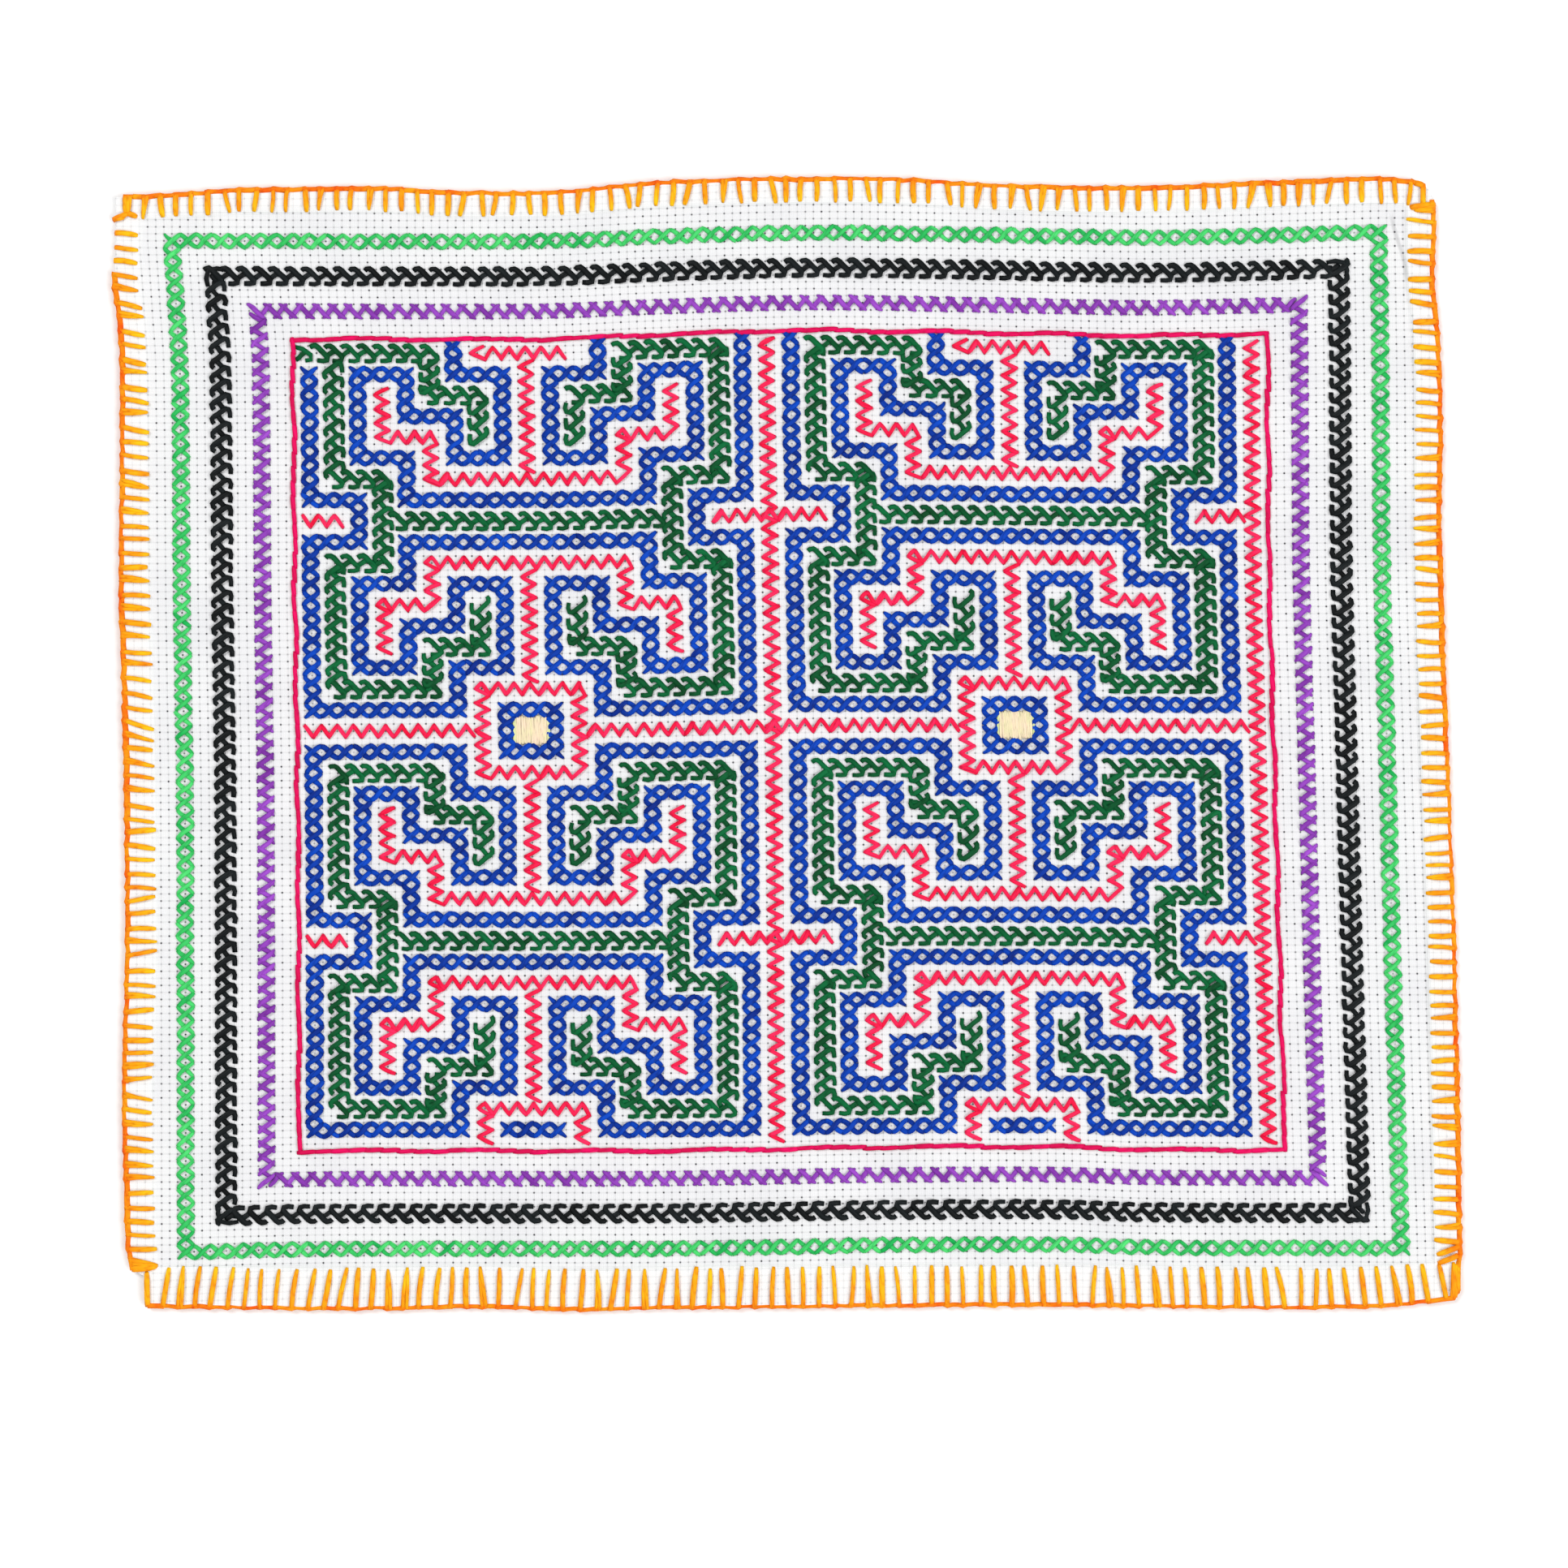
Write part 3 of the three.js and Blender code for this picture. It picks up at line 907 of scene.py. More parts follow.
@dataclass(frozen=True)
class StemRow:
    """A single line of long stitches, each starting beside the end of the last."""

    floss: Floss
    stitch: float = 2.05
    overlap: float = 0.45
    drift: float = 0.13
    path: tuple[Spot, ...] = ((0.0, 0.08), (0.3, 0.36), (0.7, 0.4), (1.0, 0.08))

    def sew(self, run: Run, work: Needlework) -> None:
        """Sews one side of the line.

        Args:
            run: The side.
            work: The piece.
        """
        count = round(run.length / self.stitch)
        unit = run.length / count
        for k in range(count):
            drift = self.drift * math.sin(0.9 * k + run.u) + work.jitter(0.05)
            points = []
            for t, height in self.path:
                along = k * unit - self.overlap / 2 + t * (unit + self.overlap)
                u, v = run.at(along, drift + 0.16 * (t - 0.5) + work.jitter(0.02))
                points.append((u, v, height))
            work.sew(points, self.floss)


class Colour(Enum):
    """The maze's three colours."""

    BLUE = "blue"
    GREEN = "green"
    RED = "red"


@dataclass(frozen=True)
class Leg:
    """A straight zigzag: its row or column, its first and last holes, and the corners at its ends."""

    level: bool
    line: int
    first: int
    last: int
    start: tuple[int, int] | None
    end: tuple[int, int] | None


@dataclass
class Bands:
    """The straight bands of one colour, kept by the row or column that their middles run along."""

    rows: dict[int, list[tuple[int, int]]] = field(default_factory=dict)
    columns: dict[int, list[tuple[int, int]]] = field(default_factory=dict)

    def add(self, start: tuple[int, int], end: tuple[int, int]) -> None:
        """Adds a band between two places, in squares, and joins it to those that it meets end to end.

        Args:
            start: One end.
            end: The other.
        """
        level = start[1] == end[1]
        lines, key = (self.rows, start[1]) if level else (self.columns, start[0])
        low, high = sorted((start[0], end[0]) if level else (start[1], end[1]))
        apart = []
        for old_low, old_high in lines.get(key, []):
            if old_low <= high and low <= old_high:
                low, high = min(low, old_low), max(high, old_high)
            else:
                apart.append((old_low, old_high))
        lines[key] = sorted([*apart, (low, high)])

    def crossed(self, level: bool, u: int, v: int, inside: bool) -> bool:
        """Tells whether a band of the other direction passes a place.

        Args:
            level: Whether the asking band is level.
            u: Squares to the right.
            v: Squares down.
            inside: Whether the other band's own ends don't count.

        Returns:
            True if one does.
        """
        lines, at = (self.columns.get(u, []), v) if level else (self.rows.get(v, []), u)
        margin = 1 if inside else 0
        return any(low + margin <= at <= high - margin for low, high in lines)

    def _inside(self) -> list[tuple[bool, int, int, int]]:
        """Lists the bands on the rows and columns inside the maze's limits.

        Returns:
            Each as level or not, line, start and end, rows first.
        """
        rows = [(True, v, spans) for v, spans in sorted(self.rows.items()) if FIELD.holds(0, v)]
        columns = [(False, u, spans) for u, spans in sorted(self.columns.items()) if FIELD.holds(u, 0)]
        return [(level, line, low, high) for level, line, spans in rows + columns for low, high in spans]

    def legs(self) -> list[Leg]:
        """Lists the bands inside the maze's limits as zigzag legs, rows first.

        Returns:
            The legs, each with the squares of its first and last holes and the corners that it turns.
        """
        found = []
        for level, line, low, high in self._inside():
            low_limit, high_limit = FIELD.reach(level)
            first, start = self._leg_end(level, line, low, -1)
            last, end = self._leg_end(level, line, high, 1)
            first, last = max(first, low_limit), min(last, high_limit)
            if last > first:
                found.append(Leg(level, line, int(first), int(last), start, end))
        return found

    def _leg_end(self, level: bool, line: int, end: int, out: int) -> tuple[int, tuple[int, int] | None]:
        """Finds where a leg's last hole lies.

        A free end reaches a square further, and one that meets a passing band stops a square short. At
        a corner the leg has a hole in the corner's middle only if that hole is on the outer side.

        Args:
            level: Whether the leg is level.
            line: Its row or column.
            end: The square that the band ends at.
            out: The way outwards, 1 or -1.

        Returns:
            The square of the last hole, and the corner if it turns one.
        """
        place = (end, line) if level else (line, end)
        if not self.crossed(level, *place, inside=False):
            return end + out, None
        if self.crossed(level, *place, inside=True):
            return end - out, None
        others = self.columns[end] if level else self.rows[end]
        ahead = 1 if any(low == line for low, _ in others) else -1
        side = (-1 if end % 2 else 1) if level else (1 if end % 2 else -1)
        return (end if side == -ahead else end - out), place

    def spans(self) -> list[tuple[bool, int, int, int]]:
        """Lists the bands inside the maze's limits, as level or not, line, start and end, with their ends.

        A level band reaches a square past its ends, unless an upright band passes there. An upright
        band does so only where it ends alone, and stops short of a level one.

        Returns:
            The bands, rows first.
        """
        found = []
        for level, line, low, high in self._inside():
            low_limit, high_limit = FIELD.reach(level)
            ends = []
            for end, out in ((low, -1), (high, 1)):
                place = (end, line) if level else (line, end)
                met = self.crossed(level, *place, inside=level)
                ends.append(end - out if met else end + out)
            start, stop = max(ends[0], low_limit), min(ends[1], high_limit)
            if stop - start > 1:
                found.append((level, line, int(start), int(stop)))
        return found


@dataclass(frozen=True)
class Chart:
    """The maze's chart: paths in one quarter of a motif, in pitches from its middle, mirrored to make all."""

    pitch: int = 3
    columns: tuple[int, ...] = (9, 29)
    rows: tuple[int, ...] = (8, 28)
    small_squares: tuple[int, int] = (17, 19)
    last_row: int = 37
    blue: tuple[tuple[tuple[int, int], ...], ...] = (
        (
            (0, 1), (5, 1), (5, 3), (7, 3), (7, 7), (5, 7), (5, 5), (3, 5), (3, 3), (1, 3), (1, 7), (3, 7),
            (3, 9), (9, 9), (9, 1), (7, 1), (7, 0),
        ),
    )  # fmt: skip
    green: tuple[tuple[tuple[int, int], ...], ...] = (
        ((2, 4), (2, 6), (4, 6), (4, 8), (8, 8), (8, 2), (6, 2), (6, 0), (0, 0)),
    )
    red: tuple[tuple[tuple[int, int], ...], ...] = (
        ((10, 10), (2, 10), (2, 8), (0, 8), (0, 2), (4, 2), (4, 4), (6, 4), (6, 6)),
        ((10, 10), (10, 0), (8, 0)),
    )

    def bands(self, colour: Colour) -> Bands:
        """Lays out all the bands of a colour.

        Args:
            colour: Which colour.

        Returns:
            Its bands, in squares.
        """
        bands = Bands()
        for path in getattr(self, colour.value):
            for start, end in zip(path, path[1:]):
                self._mirrored(bands, start, end)
        if colour is Colour.BLUE:
            self._small_squares(bands)
        if colour is Colour.GREEN:
            bands.add((0, 0), (self.pitch, 0))
        return bands

    def _mirrored(self, bands: Bands, start: tuple[int, int], end: tuple[int, int]) -> None:
        """Adds a step of a path to the four quarters of each motif.

        Args:
            bands: The bands to add it to.
            start: The step's start, in pitches from the motif's middle.
            end: Its end.
        """
        middles = [(column, row) for column in self.columns for row in self.rows]
        for column, row in middles:
            for across, down in ((-1, -1), (-1, 1), (1, -1), (1, 1)):
                us = [(column + across * p) * self.pitch for p, _ in (start, end)]
                vs = [(row + down * q) * self.pitch for _, q in (start, end)]
                bands.add(*zip(us, vs))

    def _small_squares(self, bands: Bands) -> None:
        """Adds the small squares between the motifs, and the side of each that shows at the maze's foot.

        Args:
            bands: The bands to add them to.
        """
        top, bottom = (row * self.pitch for row in self.small_squares)
        for column in self.columns:
            left, right = (column - 1) * self.pitch, (column + 1) * self.pitch
            for start, end in (
                ((left, top), (right, top)),
                ((right, top), (right, bottom)),
                ((left, bottom), (right, bottom)),
                ((left, top), (left, bottom)),
                ((left, self.last_row * self.pitch), (right, self.last_row * self.pitch)),
            ):
                bands.add(start, end)


class NodeFinder:
    """Tells which CAD node of a colour stands for a place in the maze."""

    def __init__(self, colour: Colour, bands: Bands, weave: Weave, nodes: list[str]) -> None:
        """Paints the bands' squares, splits them into joined pieces and pairs each with the nearest node.

        Args:
            colour: The colour.
            bands: Its bands.
            weave: The cloth's squares.
            nodes: All the CAD nodes' names.
        """
        cells = self._paint(bands)
        boxes = {name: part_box(name) for name in nodes if name.startswith(f"maze_{colour.value}_")}
        self.owner: dict[tuple[int, int], str] = {}
        while cells:
            piece = self._joined(cells)
            name = self._nearest(piece, weave, boxes)
            self.owner.update({cell: name for cell in piece})

    @staticmethod
    def _paint(bands: Bands) -> set[tuple[int, int]]:
        """Lists the squares that the bands cover, inside the maze's limits.

        Args:
            bands: The colour's bands.

        Returns:
            The squares.
        """
        cells = set()
        for level, line, start, stop in bands.spans():
            for along in range(start, stop):
                for aside in (line - 1, line):
                    cells.add((along, aside) if level else (aside, along))
        return cells

    @staticmethod
    def _joined(cells: set[tuple[int, int]]) -> set[tuple[int, int]]:
        """Takes one joined piece out of the squares.

        Args:
            cells: The squares, which lose the piece's own.

        Returns:
            The piece's squares.
        """
        open_cells = [min(cells)]
        cells.discard(open_cells[0])
        piece = set(open_cells)
        while open_cells:
            u, v = open_cells.pop()
            for near in ((u + 1, v), (u - 1, v), (u, v + 1), (u, v - 1)):
                if near in cells:
                    cells.discard(near)
                    piece.add(near)
                    open_cells.append(near)
        return piece

    @staticmethod
    def _nearest(piece: set[tuple[int, int]], weave: Weave, boxes: dict[str, tuple[Vector, Vector]]) -> str:
        """Names the node whose box fits a piece's box best.

        Args:
            piece: The piece's squares.
            weave: The cloth's squares, for their places.
            boxes: Each node's box, in metres.

        Returns:
            The node's name.
        """
        u, v = np.array(sorted(piece), float).T
        x, y = weave.place(np.r_[u, u + 1], np.r_[v, v + 1])
        box = np.array([x.min(), y.min(), x.max(), y.max()]) * MM

        def misfit(name: str) -> float:
            """Adds up how far the two boxes' sides lie apart."""
            low, high = boxes[name]
            return float(np.abs(box - np.array([low.x, low.y, high.x, high.y])).sum())

        return min(boxes, key=misfit)

    def find(self, u: float, v: float) -> str:
        """Names the node under a place, or the nearest one a square or two away.

        Args:
            u: Squares to the right.
            v: Squares down.

        Returns:
            The node's name.
        """
        cell = (math.floor(u), math.floor(v))
        for reach in range(3):
            for du in range(-reach, reach + 1):
                for dv in range(-reach, reach + 1):
                    found = self.owner.get((cell[0] + du, cell[1] + dv))
                    if found:
                        return found
        raise KeyError(f"no band at {u}, {v}")


class Wiring:
    """A shader tree with short ways to add nodes and join them."""

    def __init__(self, tree: bpy.types.NodeTree) -> None:
        """Takes the tree to work in."""
        self.tree = tree

    def add(self, kind: str, **settings: object) -> Node:
        """Adds a node.

        Args:
            kind: Blender's name of its type.
            **settings: Its own settings.

        Returns:
            The node.
        """
        node = self.tree.nodes.new(kind)
        for name, value in settings.items():
            setattr(node, name, value)
        return node

    def feed(self, socket: Socket, value: object) -> None:
        """Sets a socket to a value, or joins it to another socket.

        Args:
            socket: The socket to feed.
            value: The value or the other socket.
        """
        if isinstance(value, Socket):
            self.tree.links.new(value, socket)
        else:
            socket.default_value = value

    def sum(self, operation: str, *values: object, clamp: bool = False) -> Socket:
        """Does one sum.

        Args:
            operation: Blender's name of it.
            *values: Numbers or sockets.
            clamp: Whether the result is kept from 0 to 1.

        Returns:
            The result's socket.
        """
        node = self.add("ShaderNodeMath", operation=operation, use_clamp=clamp)
        for socket, value in zip(node.inputs, values):
            self.feed(socket, value)
        return node.outputs[0]

    def spread(self, value: object, low: float, high: float, to_low: float, to_high: float) -> Socket:
        """Maps a range softly on another, and holds it at the ends.

        Args:
            value: The number or socket to map.
            low: The range's start.
            high: Its end.
            to_low: What the start becomes.
            to_high: What the end becomes.

        Returns:
            The result's socket.
        """
        node = self.add("ShaderNodeMapRange", interpolation_type="SMOOTHSTEP")
        for socket, given in zip(node.inputs, (value, low, high, to_low, to_high)):
            self.feed(socket, given)
        return node.outputs[0]

    def mix(self, share: object, first: object, second: object) -> Socket:
        """Mixes two colours.

        Args:
            share: How much of the second.
            first: A colour or socket.
            second: Another.

        Returns:
            The mixed colour's socket.
        """
        node = self.add("ShaderNodeMix", data_type="RGBA")
        for name, given in (("Factor_Float", share), ("A_Color", first), ("B_Color", second)):
            self.feed(next(s for s in node.inputs if s.identifier == name), given)
        return next(s for s in node.outputs if s.identifier == "Result_Color")

    def noise(self, place: object, scale: float, detail: float) -> Socket:
        """Gives a soft noise over places.

        Args:
            place: The places' socket.
            scale: How fine it is.
            detail: How many finer layers it has.

        Returns:
            The noise's socket, from 0 to 1.
        """
        node = self.add("ShaderNodeTexNoise")
        self.feed(node.inputs["Vector"], place)
        self.feed(node.inputs["Scale"], scale)
        self.feed(node.inputs["Detail"], detail)
        return node.outputs["Fac"]

    def bump(self, shader: Node, height: Socket, strength: float, distance: float) -> None:
        """Gives a shader's face a fine relief.

        Args:
            shader: The shader.
            height: The relief's height.
            strength: How strongly it shows, from 0 to 1.
            distance: What a height of 1 stands for, in metres.
        """
        node = self.add("ShaderNodeBump")
        for name, value in (("Strength", strength), ("Distance", distance), ("Height", height)):
            self.feed(node.inputs[name], value)
        self.feed(shader.inputs["Normal"], node.outputs["Normal"])


def new_material(name: str) -> tuple[bpy.types.Material, Wiring, Node]:
    """Starts a material.

    Args:
        name: Its name.

    Returns:
        The material, its tree and its shader.
    """
    material = bpy.data.materials.new(name)
    material.use_nodes = True
    return material, Wiring(material.node_tree), material.node_tree.nodes["Principled BSDF"]


class ShaderGroup:
    """A group of shader nodes, made once, whose first input is a place and whose others are numbers."""

    name: str
    inputs: tuple[str, ...]
    outputs: tuple[str, ...]

    @classmethod
    def group(cls) -> bpy.types.NodeTree:
        """Gives the group, and wires it when first asked for.

        Returns:
            Its tree.
        """
        if cls.name in bpy.data.node_groups:
            return bpy.data.node_groups[cls.name]
        tree = bpy.data.node_groups.new(cls.name, "ShaderNodeTree")
        for number, name in enumerate(cls.inputs):
            kind = "NodeSocketFloat" if number else "NodeSocketVector"
            tree.interface.new_socket(name, in_out="INPUT", socket_type=kind)
        for name in cls.outputs:
            tree.interface.new_socket(name, in_out="OUTPUT", socket_type="NodeSocketFloat")
        wires = Wiring(tree)
        given, out = wires.add("NodeGroupInput"), wires.add("NodeGroupOutput")
        split = wires.add("ShaderNodeSeparateXYZ")
        wires.feed(split.inputs[0], given.outputs[0])
        cls._wire(wires, given, split, out)
        return tree

    @classmethod
    def _wire(cls, wires: Wiring, given: Node, split: Node, out: Node) -> None:
        """Works the outputs out.

        Args:
            wires: The group's tree.
            given: The node with the inputs.
            split: The node with the place's own numbers.
            out: The node that takes the outputs.
        """
        raise NotImplementedError


class ThreadTwist(ShaderGroup):
    """The plies that wind round a thread: their height, and a mask of the grooves between them, which the
    threads' material darkens with painted shade.
    """

    name = "thread_twist"
    inputs = ("Place", "Plies", "Pitch")
    outputs = ("Height", "Groove")

    @classmethod
    def _wire(cls, wires: Wiring, given: Node, split: Node, out: Node) -> None:
        """Winds the plies; the arguments are the base class's."""
        wound = wires.sum("DIVIDE", split.outputs["X"], given.outputs["Pitch"])
        turn = wires.sum("MULTIPLY_ADD", split.outputs["Y"], given.outputs["Plies"], wound)
        ridge = wires.sum("ABSOLUTE", wires.sum("SINE", wires.sum("MULTIPLY", turn, math.pi)))
        hairs = wires.noise(given.outputs["Place"], 3.2, 3)
        height = wires.sum("MULTIPLY_ADD", hairs, 0.25, wires.sum("POWER", ridge, 0.6))
        wires.feed(out.inputs["Height"], height)
        wires.feed(out.inputs["Groove"], wires.spread(ridge, 0.0, 0.55, 1.0, 0.0))


class EvenWeave(ShaderGroup):
    """Cotton woven in squares: its height, and masks of the corners' small holes and of the fine lines, where
    the cloth's material paints shade.
    """

    name = "even_weave"
    inputs = ("Squares", "Across", "Down")
    outputs = ("Height", "Hole", "Line")

    @classmethod
    def _wire(cls, wires: Wiring, given: Node, split: Node, out: Node) -> None:
        """Weaves the squares; the arguments are the base class's."""
        offs, whole = [], []
        for axis, size in (("X", "Across"), ("Y", "Down")):
            nearest = wires.sum("ROUND", split.outputs[axis])
            apart = wires.sum("ABSOLUTE", wires.sum("SUBTRACT", split.outputs[axis], nearest))
            offs.append(wires.sum("MULTIPLY", apart, given.outputs[size]))
            whole.append(nearest)
        hole = cls._hole(wires, offs, whole)
        lines = [wires.spread(off, 0.05, 0.3, 1.0, 0.0) for off in offs]
        wires.feed(out.inputs["Hole"], hole)
        wires.feed(out.inputs["Line"], wires.sum("MAXIMUM", *lines))
        wires.feed(out.inputs["Height"], cls._height(wires, split, hole, lines))

    @staticmethod
    def _hole(wires: Wiring, offs: list[Socket], whole: list[Socket]) -> Socket:
        """Masks the holes, some of them more open than others.

        Args:
            wires: The group's tree.
            offs: Millimetres from the nearest line of corners, both ways.
            whole: The nearest corner's own numbers.

        Returns:
            The mask's socket.
        """
        squares = [wires.sum("MULTIPLY", off, off) for off in offs]
        away = wires.sum("SQRT", wires.sum("ADD", *squares))
        corner = wires.add("ShaderNodeCombineXYZ")
        wires.feed(corner.inputs[0], whole[0])
        wires.feed(corner.inputs[1], whole[1])
        chance = wires.add("ShaderNodeTexWhiteNoise", noise_dimensions="2D")
        wires.feed(chance.inputs["Vector"], corner.outputs[0])
        odd = wires.sum("ABSOLUTE", wires.sum("MODULO", wires.sum("ADD", *whole), 2.0))
        strength = wires.sum("MULTIPLY_ADD", odd, 0.42, 0.22)
        strength = wires.sum("MULTIPLY_ADD", chance.outputs["Value"], 0.4, strength)
        return wires.sum("MULTIPLY", wires.spread(away, 0.1, 0.38, 1.0, 0.0), strength, clamp=True)

    @staticmethod
    def _height(wires: Wiring, split: Node, hole: Socket, lines: list[Socket]) -> Socket:
        """Raises the four threads of each square, both ways, and sinks the holes.

        Args:
            wires: The group's tree.
            split: The node with the squares' numbers.
            hole: The holes' mask.
            lines: The masks of the lines between squares.

        Returns:
            The height's socket.
        """
        waves = []
        for axis in ("X", "Y"):
            turn = wires.sum("MULTIPLY", split.outputs[axis], 4 * math.pi)
            waves.append(wires.sum("ABSOLUTE", wires.sum("SINE", turn)))
        threads = wires.sum("MULTIPLY", wires.sum("ADD", *waves), 0.3)
        sunk = wires.sum("MULTIPLY_ADD", wires.sum("MAXIMUM", *lines), -0.25, threads)
        return wires.sum("MULTIPLY_ADD", hole, -0.9, sunk)


@dataclass(frozen=True)
class ThreadFinish:
    """Stranded cotton: its colour where it is deep, where it is bright, how its plies wind, and how much
    painted shade darkens the grooves between them.
    """

    name: str
    deep: tuple[int, int, int]
    bright: tuple[int, int, int]
    plies: float = 4
    pitch: float = 5
    # How strongly the grooves between the plies are darkened with painted shade
    groove_shade: float = 0.3
    roughness: float = 0.6
    sheen: float = 0.0

    def material(self) -> bpy.types.Material:
        """Makes the thread's material.

        Returns:
            The material, which reads the piece's thread places and tones.
        """
        material, wires, shader = new_material(self.name)
        places = wires.add("ShaderNodeUVMap", uv_map="thread")
        twist = wires.add("ShaderNodeGroup", node_tree=ThreadTwist.group())
        wires.feed(twist.inputs["Place"], places.outputs["UV"])
        wires.feed(twist.inputs["Plies"], self.plies)
        wires.feed(twist.inputs["Pitch"], self.pitch)
        tone = wires.add("ShaderNodeAttribute", attribute_name="tone")
        patches = wires.noise(wires.add("ShaderNodeTexCoord").outputs["Object"], 260, 2)
        share = wires.sum("MULTIPLY_ADD", patches, 0.9, wires.sum("MULTIPLY", tone.outputs["Fac"], 0.7))
        share = wires.sum("SUBTRACT", share, 0.3, clamp=True)
        colour = wires.mix(share, linear(*self.deep), linear(*self.bright))
        # Painted shade: the grooves between the plies are mixed towards a darker copy of the deep colour
        shade = wires.sum("MULTIPLY", twist.outputs["Groove"], self.groove_shade)
        groove_shade_colour = tuple(0.45 * channel for channel in linear(*self.deep)[:3]) + (1.0,)
        wires.feed(shader.inputs["Base Color"], wires.mix(shade, colour, groove_shade_colour))
        wires.bump(shader, twist.outputs["Height"], 0.7, 0.00012)
        shader.inputs["Roughness"].default_value = self.roughness
        shader.inputs["Sheen Weight"].default_value = self.sheen
        shader.inputs["Specular IOR Level"].default_value = 0.12
        return material


@dataclass(frozen=True)
class CottonFinish:
    """White cotton in squares, with painted shade in soft patches, in its holes, along its fine lines and
    along a faint crease.
    """

    name: str = "white_even_weave"
    plain: tuple[int, int, int] = (229, 229, 230)
    # A shaded copy of the plain white, painted in soft patches as shade
    shaded: tuple[int, int, int] = (219, 219, 222)
    folded: tuple[int, int, int] = (235, 235, 235)
    # The dark grey of the painted shade in the holes, along the fine lines and along the crease
    hole: tuple[int, int, int] = (48, 46, 52)
    # The two ends of a faint crease, along which shade is painted
    crease: tuple[tuple[float, float], tuple[float, float]] = ((156.2, 138.4), (160.8, 118.4))
    crease_shade_strength: float = 0.24
    crease_fade: float = 4.0

    def material(self, weave: Weave) -> bpy.types.Material:
        """Makes the cloth's material.

        Args:
            weave: The cloth's squares, for their size.

        Returns:
            The material, which reads the cloth's squares and its hem.
        """
        material, wires, shader = new_material(self.name)
        squares = wires.add("ShaderNodeUVMap", uv_map="squares")
        woven = wires.add("ShaderNodeGroup", node_tree=EvenWeave.group())
        wires.feed(woven.inputs["Squares"], squares.outputs["UV"])
        wires.feed(woven.inputs["Across"], weave.square_w)
        wires.feed(woven.inputs["Down"], weave.square_h)
        hem = wires.add("ShaderNodeAttribute", attribute_name="hem").outputs["Fac"]
        single = wires.sum("SUBTRACT", 1.0, hem)
        spot = wires.add("ShaderNodeTexCoord").outputs["Object"]
        # Painted shade: soft patches where the plain white is mixed towards its shaded copy
        shade_patches = wires.spread(wires.noise(spot, 45, 3), 0.35, 0.7, 0.0, 1.0)
        colour = wires.mix(wires.sum("MULTIPLY", shade_patches, 0.6), linear(*self.plain), linear(*self.shaded))
        colour = wires.mix(hem, colour, linear(*self.folded))
        # Painted shade along the fine lines between the squares, fainter on the hem
        lines = wires.sum("MULTIPLY", woven.outputs["Line"], wires.sum("MULTIPLY_ADD", single, 0.035, 0.05))
        colour = wires.mix(lines, colour, linear(*self.hole))
        # Painted shade along a faint crease, mixed towards the dark grey
        crease = wires.sum("MULTIPLY", self._crease(wires, spot), self.crease_shade_strength)
        colour = wires.mix(crease, colour, linear(*self.hole))
        # Painted shade in the holes at the squares' corners, fainter on the hem
        holes = wires.sum("MULTIPLY", woven.outputs["Hole"], wires.sum("MAXIMUM", single, 0.14))
        wires.feed(shader.inputs["Base Color"], wires.mix(holes, colour, linear(*self.hole)))
        wires.bump(shader, woven.outputs["Height"], 0.6, 0.00022)
        shader.inputs["Roughness"].default_value = 0.9
        shader.inputs["Sheen Weight"].default_value = 0.1
        shader.inputs["Specular IOR Level"].default_value = 0.15
        return material

    def _crease(self, wires: Wiring, spot: Socket) -> Socket:
        """Masks the painted shade of a faint crease between two places.

        Args:
            wires: The material's tree.
            spot: The place on the cloth.

        Returns:
            The mask's socket.
        """
        (x0, y0), (x1, y1) = self.crease
        length = math.hypot(x1 - x0, y1 - y0)
        ahead = ((x1 - x0) / length, (y1 - y0) / length)
        split = wires.add("ShaderNodeSeparateXYZ")
        wires.feed(split.inputs[0], spot)
        dx = wires.sum("MULTIPLY_ADD", split.outputs["X"], 1000.0, -x0)
        dy = wires.sum("MULTIPLY_ADD", split.outputs["Y"], 1000.0, -y0)
        along = wires.sum("MULTIPLY_ADD", dx, ahead[0], wires.sum("MULTIPLY", dy, ahead[1]))
        aside = wires.sum("MULTIPLY_ADD", dx, -ahead[1], wires.sum("MULTIPLY", dy, ahead[0]))
        waver = wires.sum("MULTIPLY", wires.sum("SINE", wires.sum("MULTIPLY", along, 0.35)), 0.3)
        near = wires.spread(wires.sum("ABSOLUTE", wires.sum("ADD", aside, waver)), 0.1, 0.85, 1.0, 0.0)
        begun = wires.spread(along, 0.0, self.crease_fade, 0.0, 1.0)
        going_on = wires.spread(along, length - self.crease_fade, length, 1.0, 0.0)
        return wires.sum("MULTIPLY", near, wires.sum("MULTIPLY", begun, going_on))


class Palette(Enum):
    """The threads, each with its slot's name as its value."""

    ORANGE = "orange_thread"
    MAGENTA = "magenta_thread"
    PURPLE = "purple_thread"
    BLACK = "black_thread"
    LIGHT_GREEN = "light_green_thread"
    BLUE = "blue_thread"
    DARK_GREEN = "dark_green_thread"
    RED = "red_thread"
    CREAM = "cream_thread"

    @property
    def finish(self) -> ThreadFinish:
        """Gives the thread's finish."""
        return FINISHES[self]


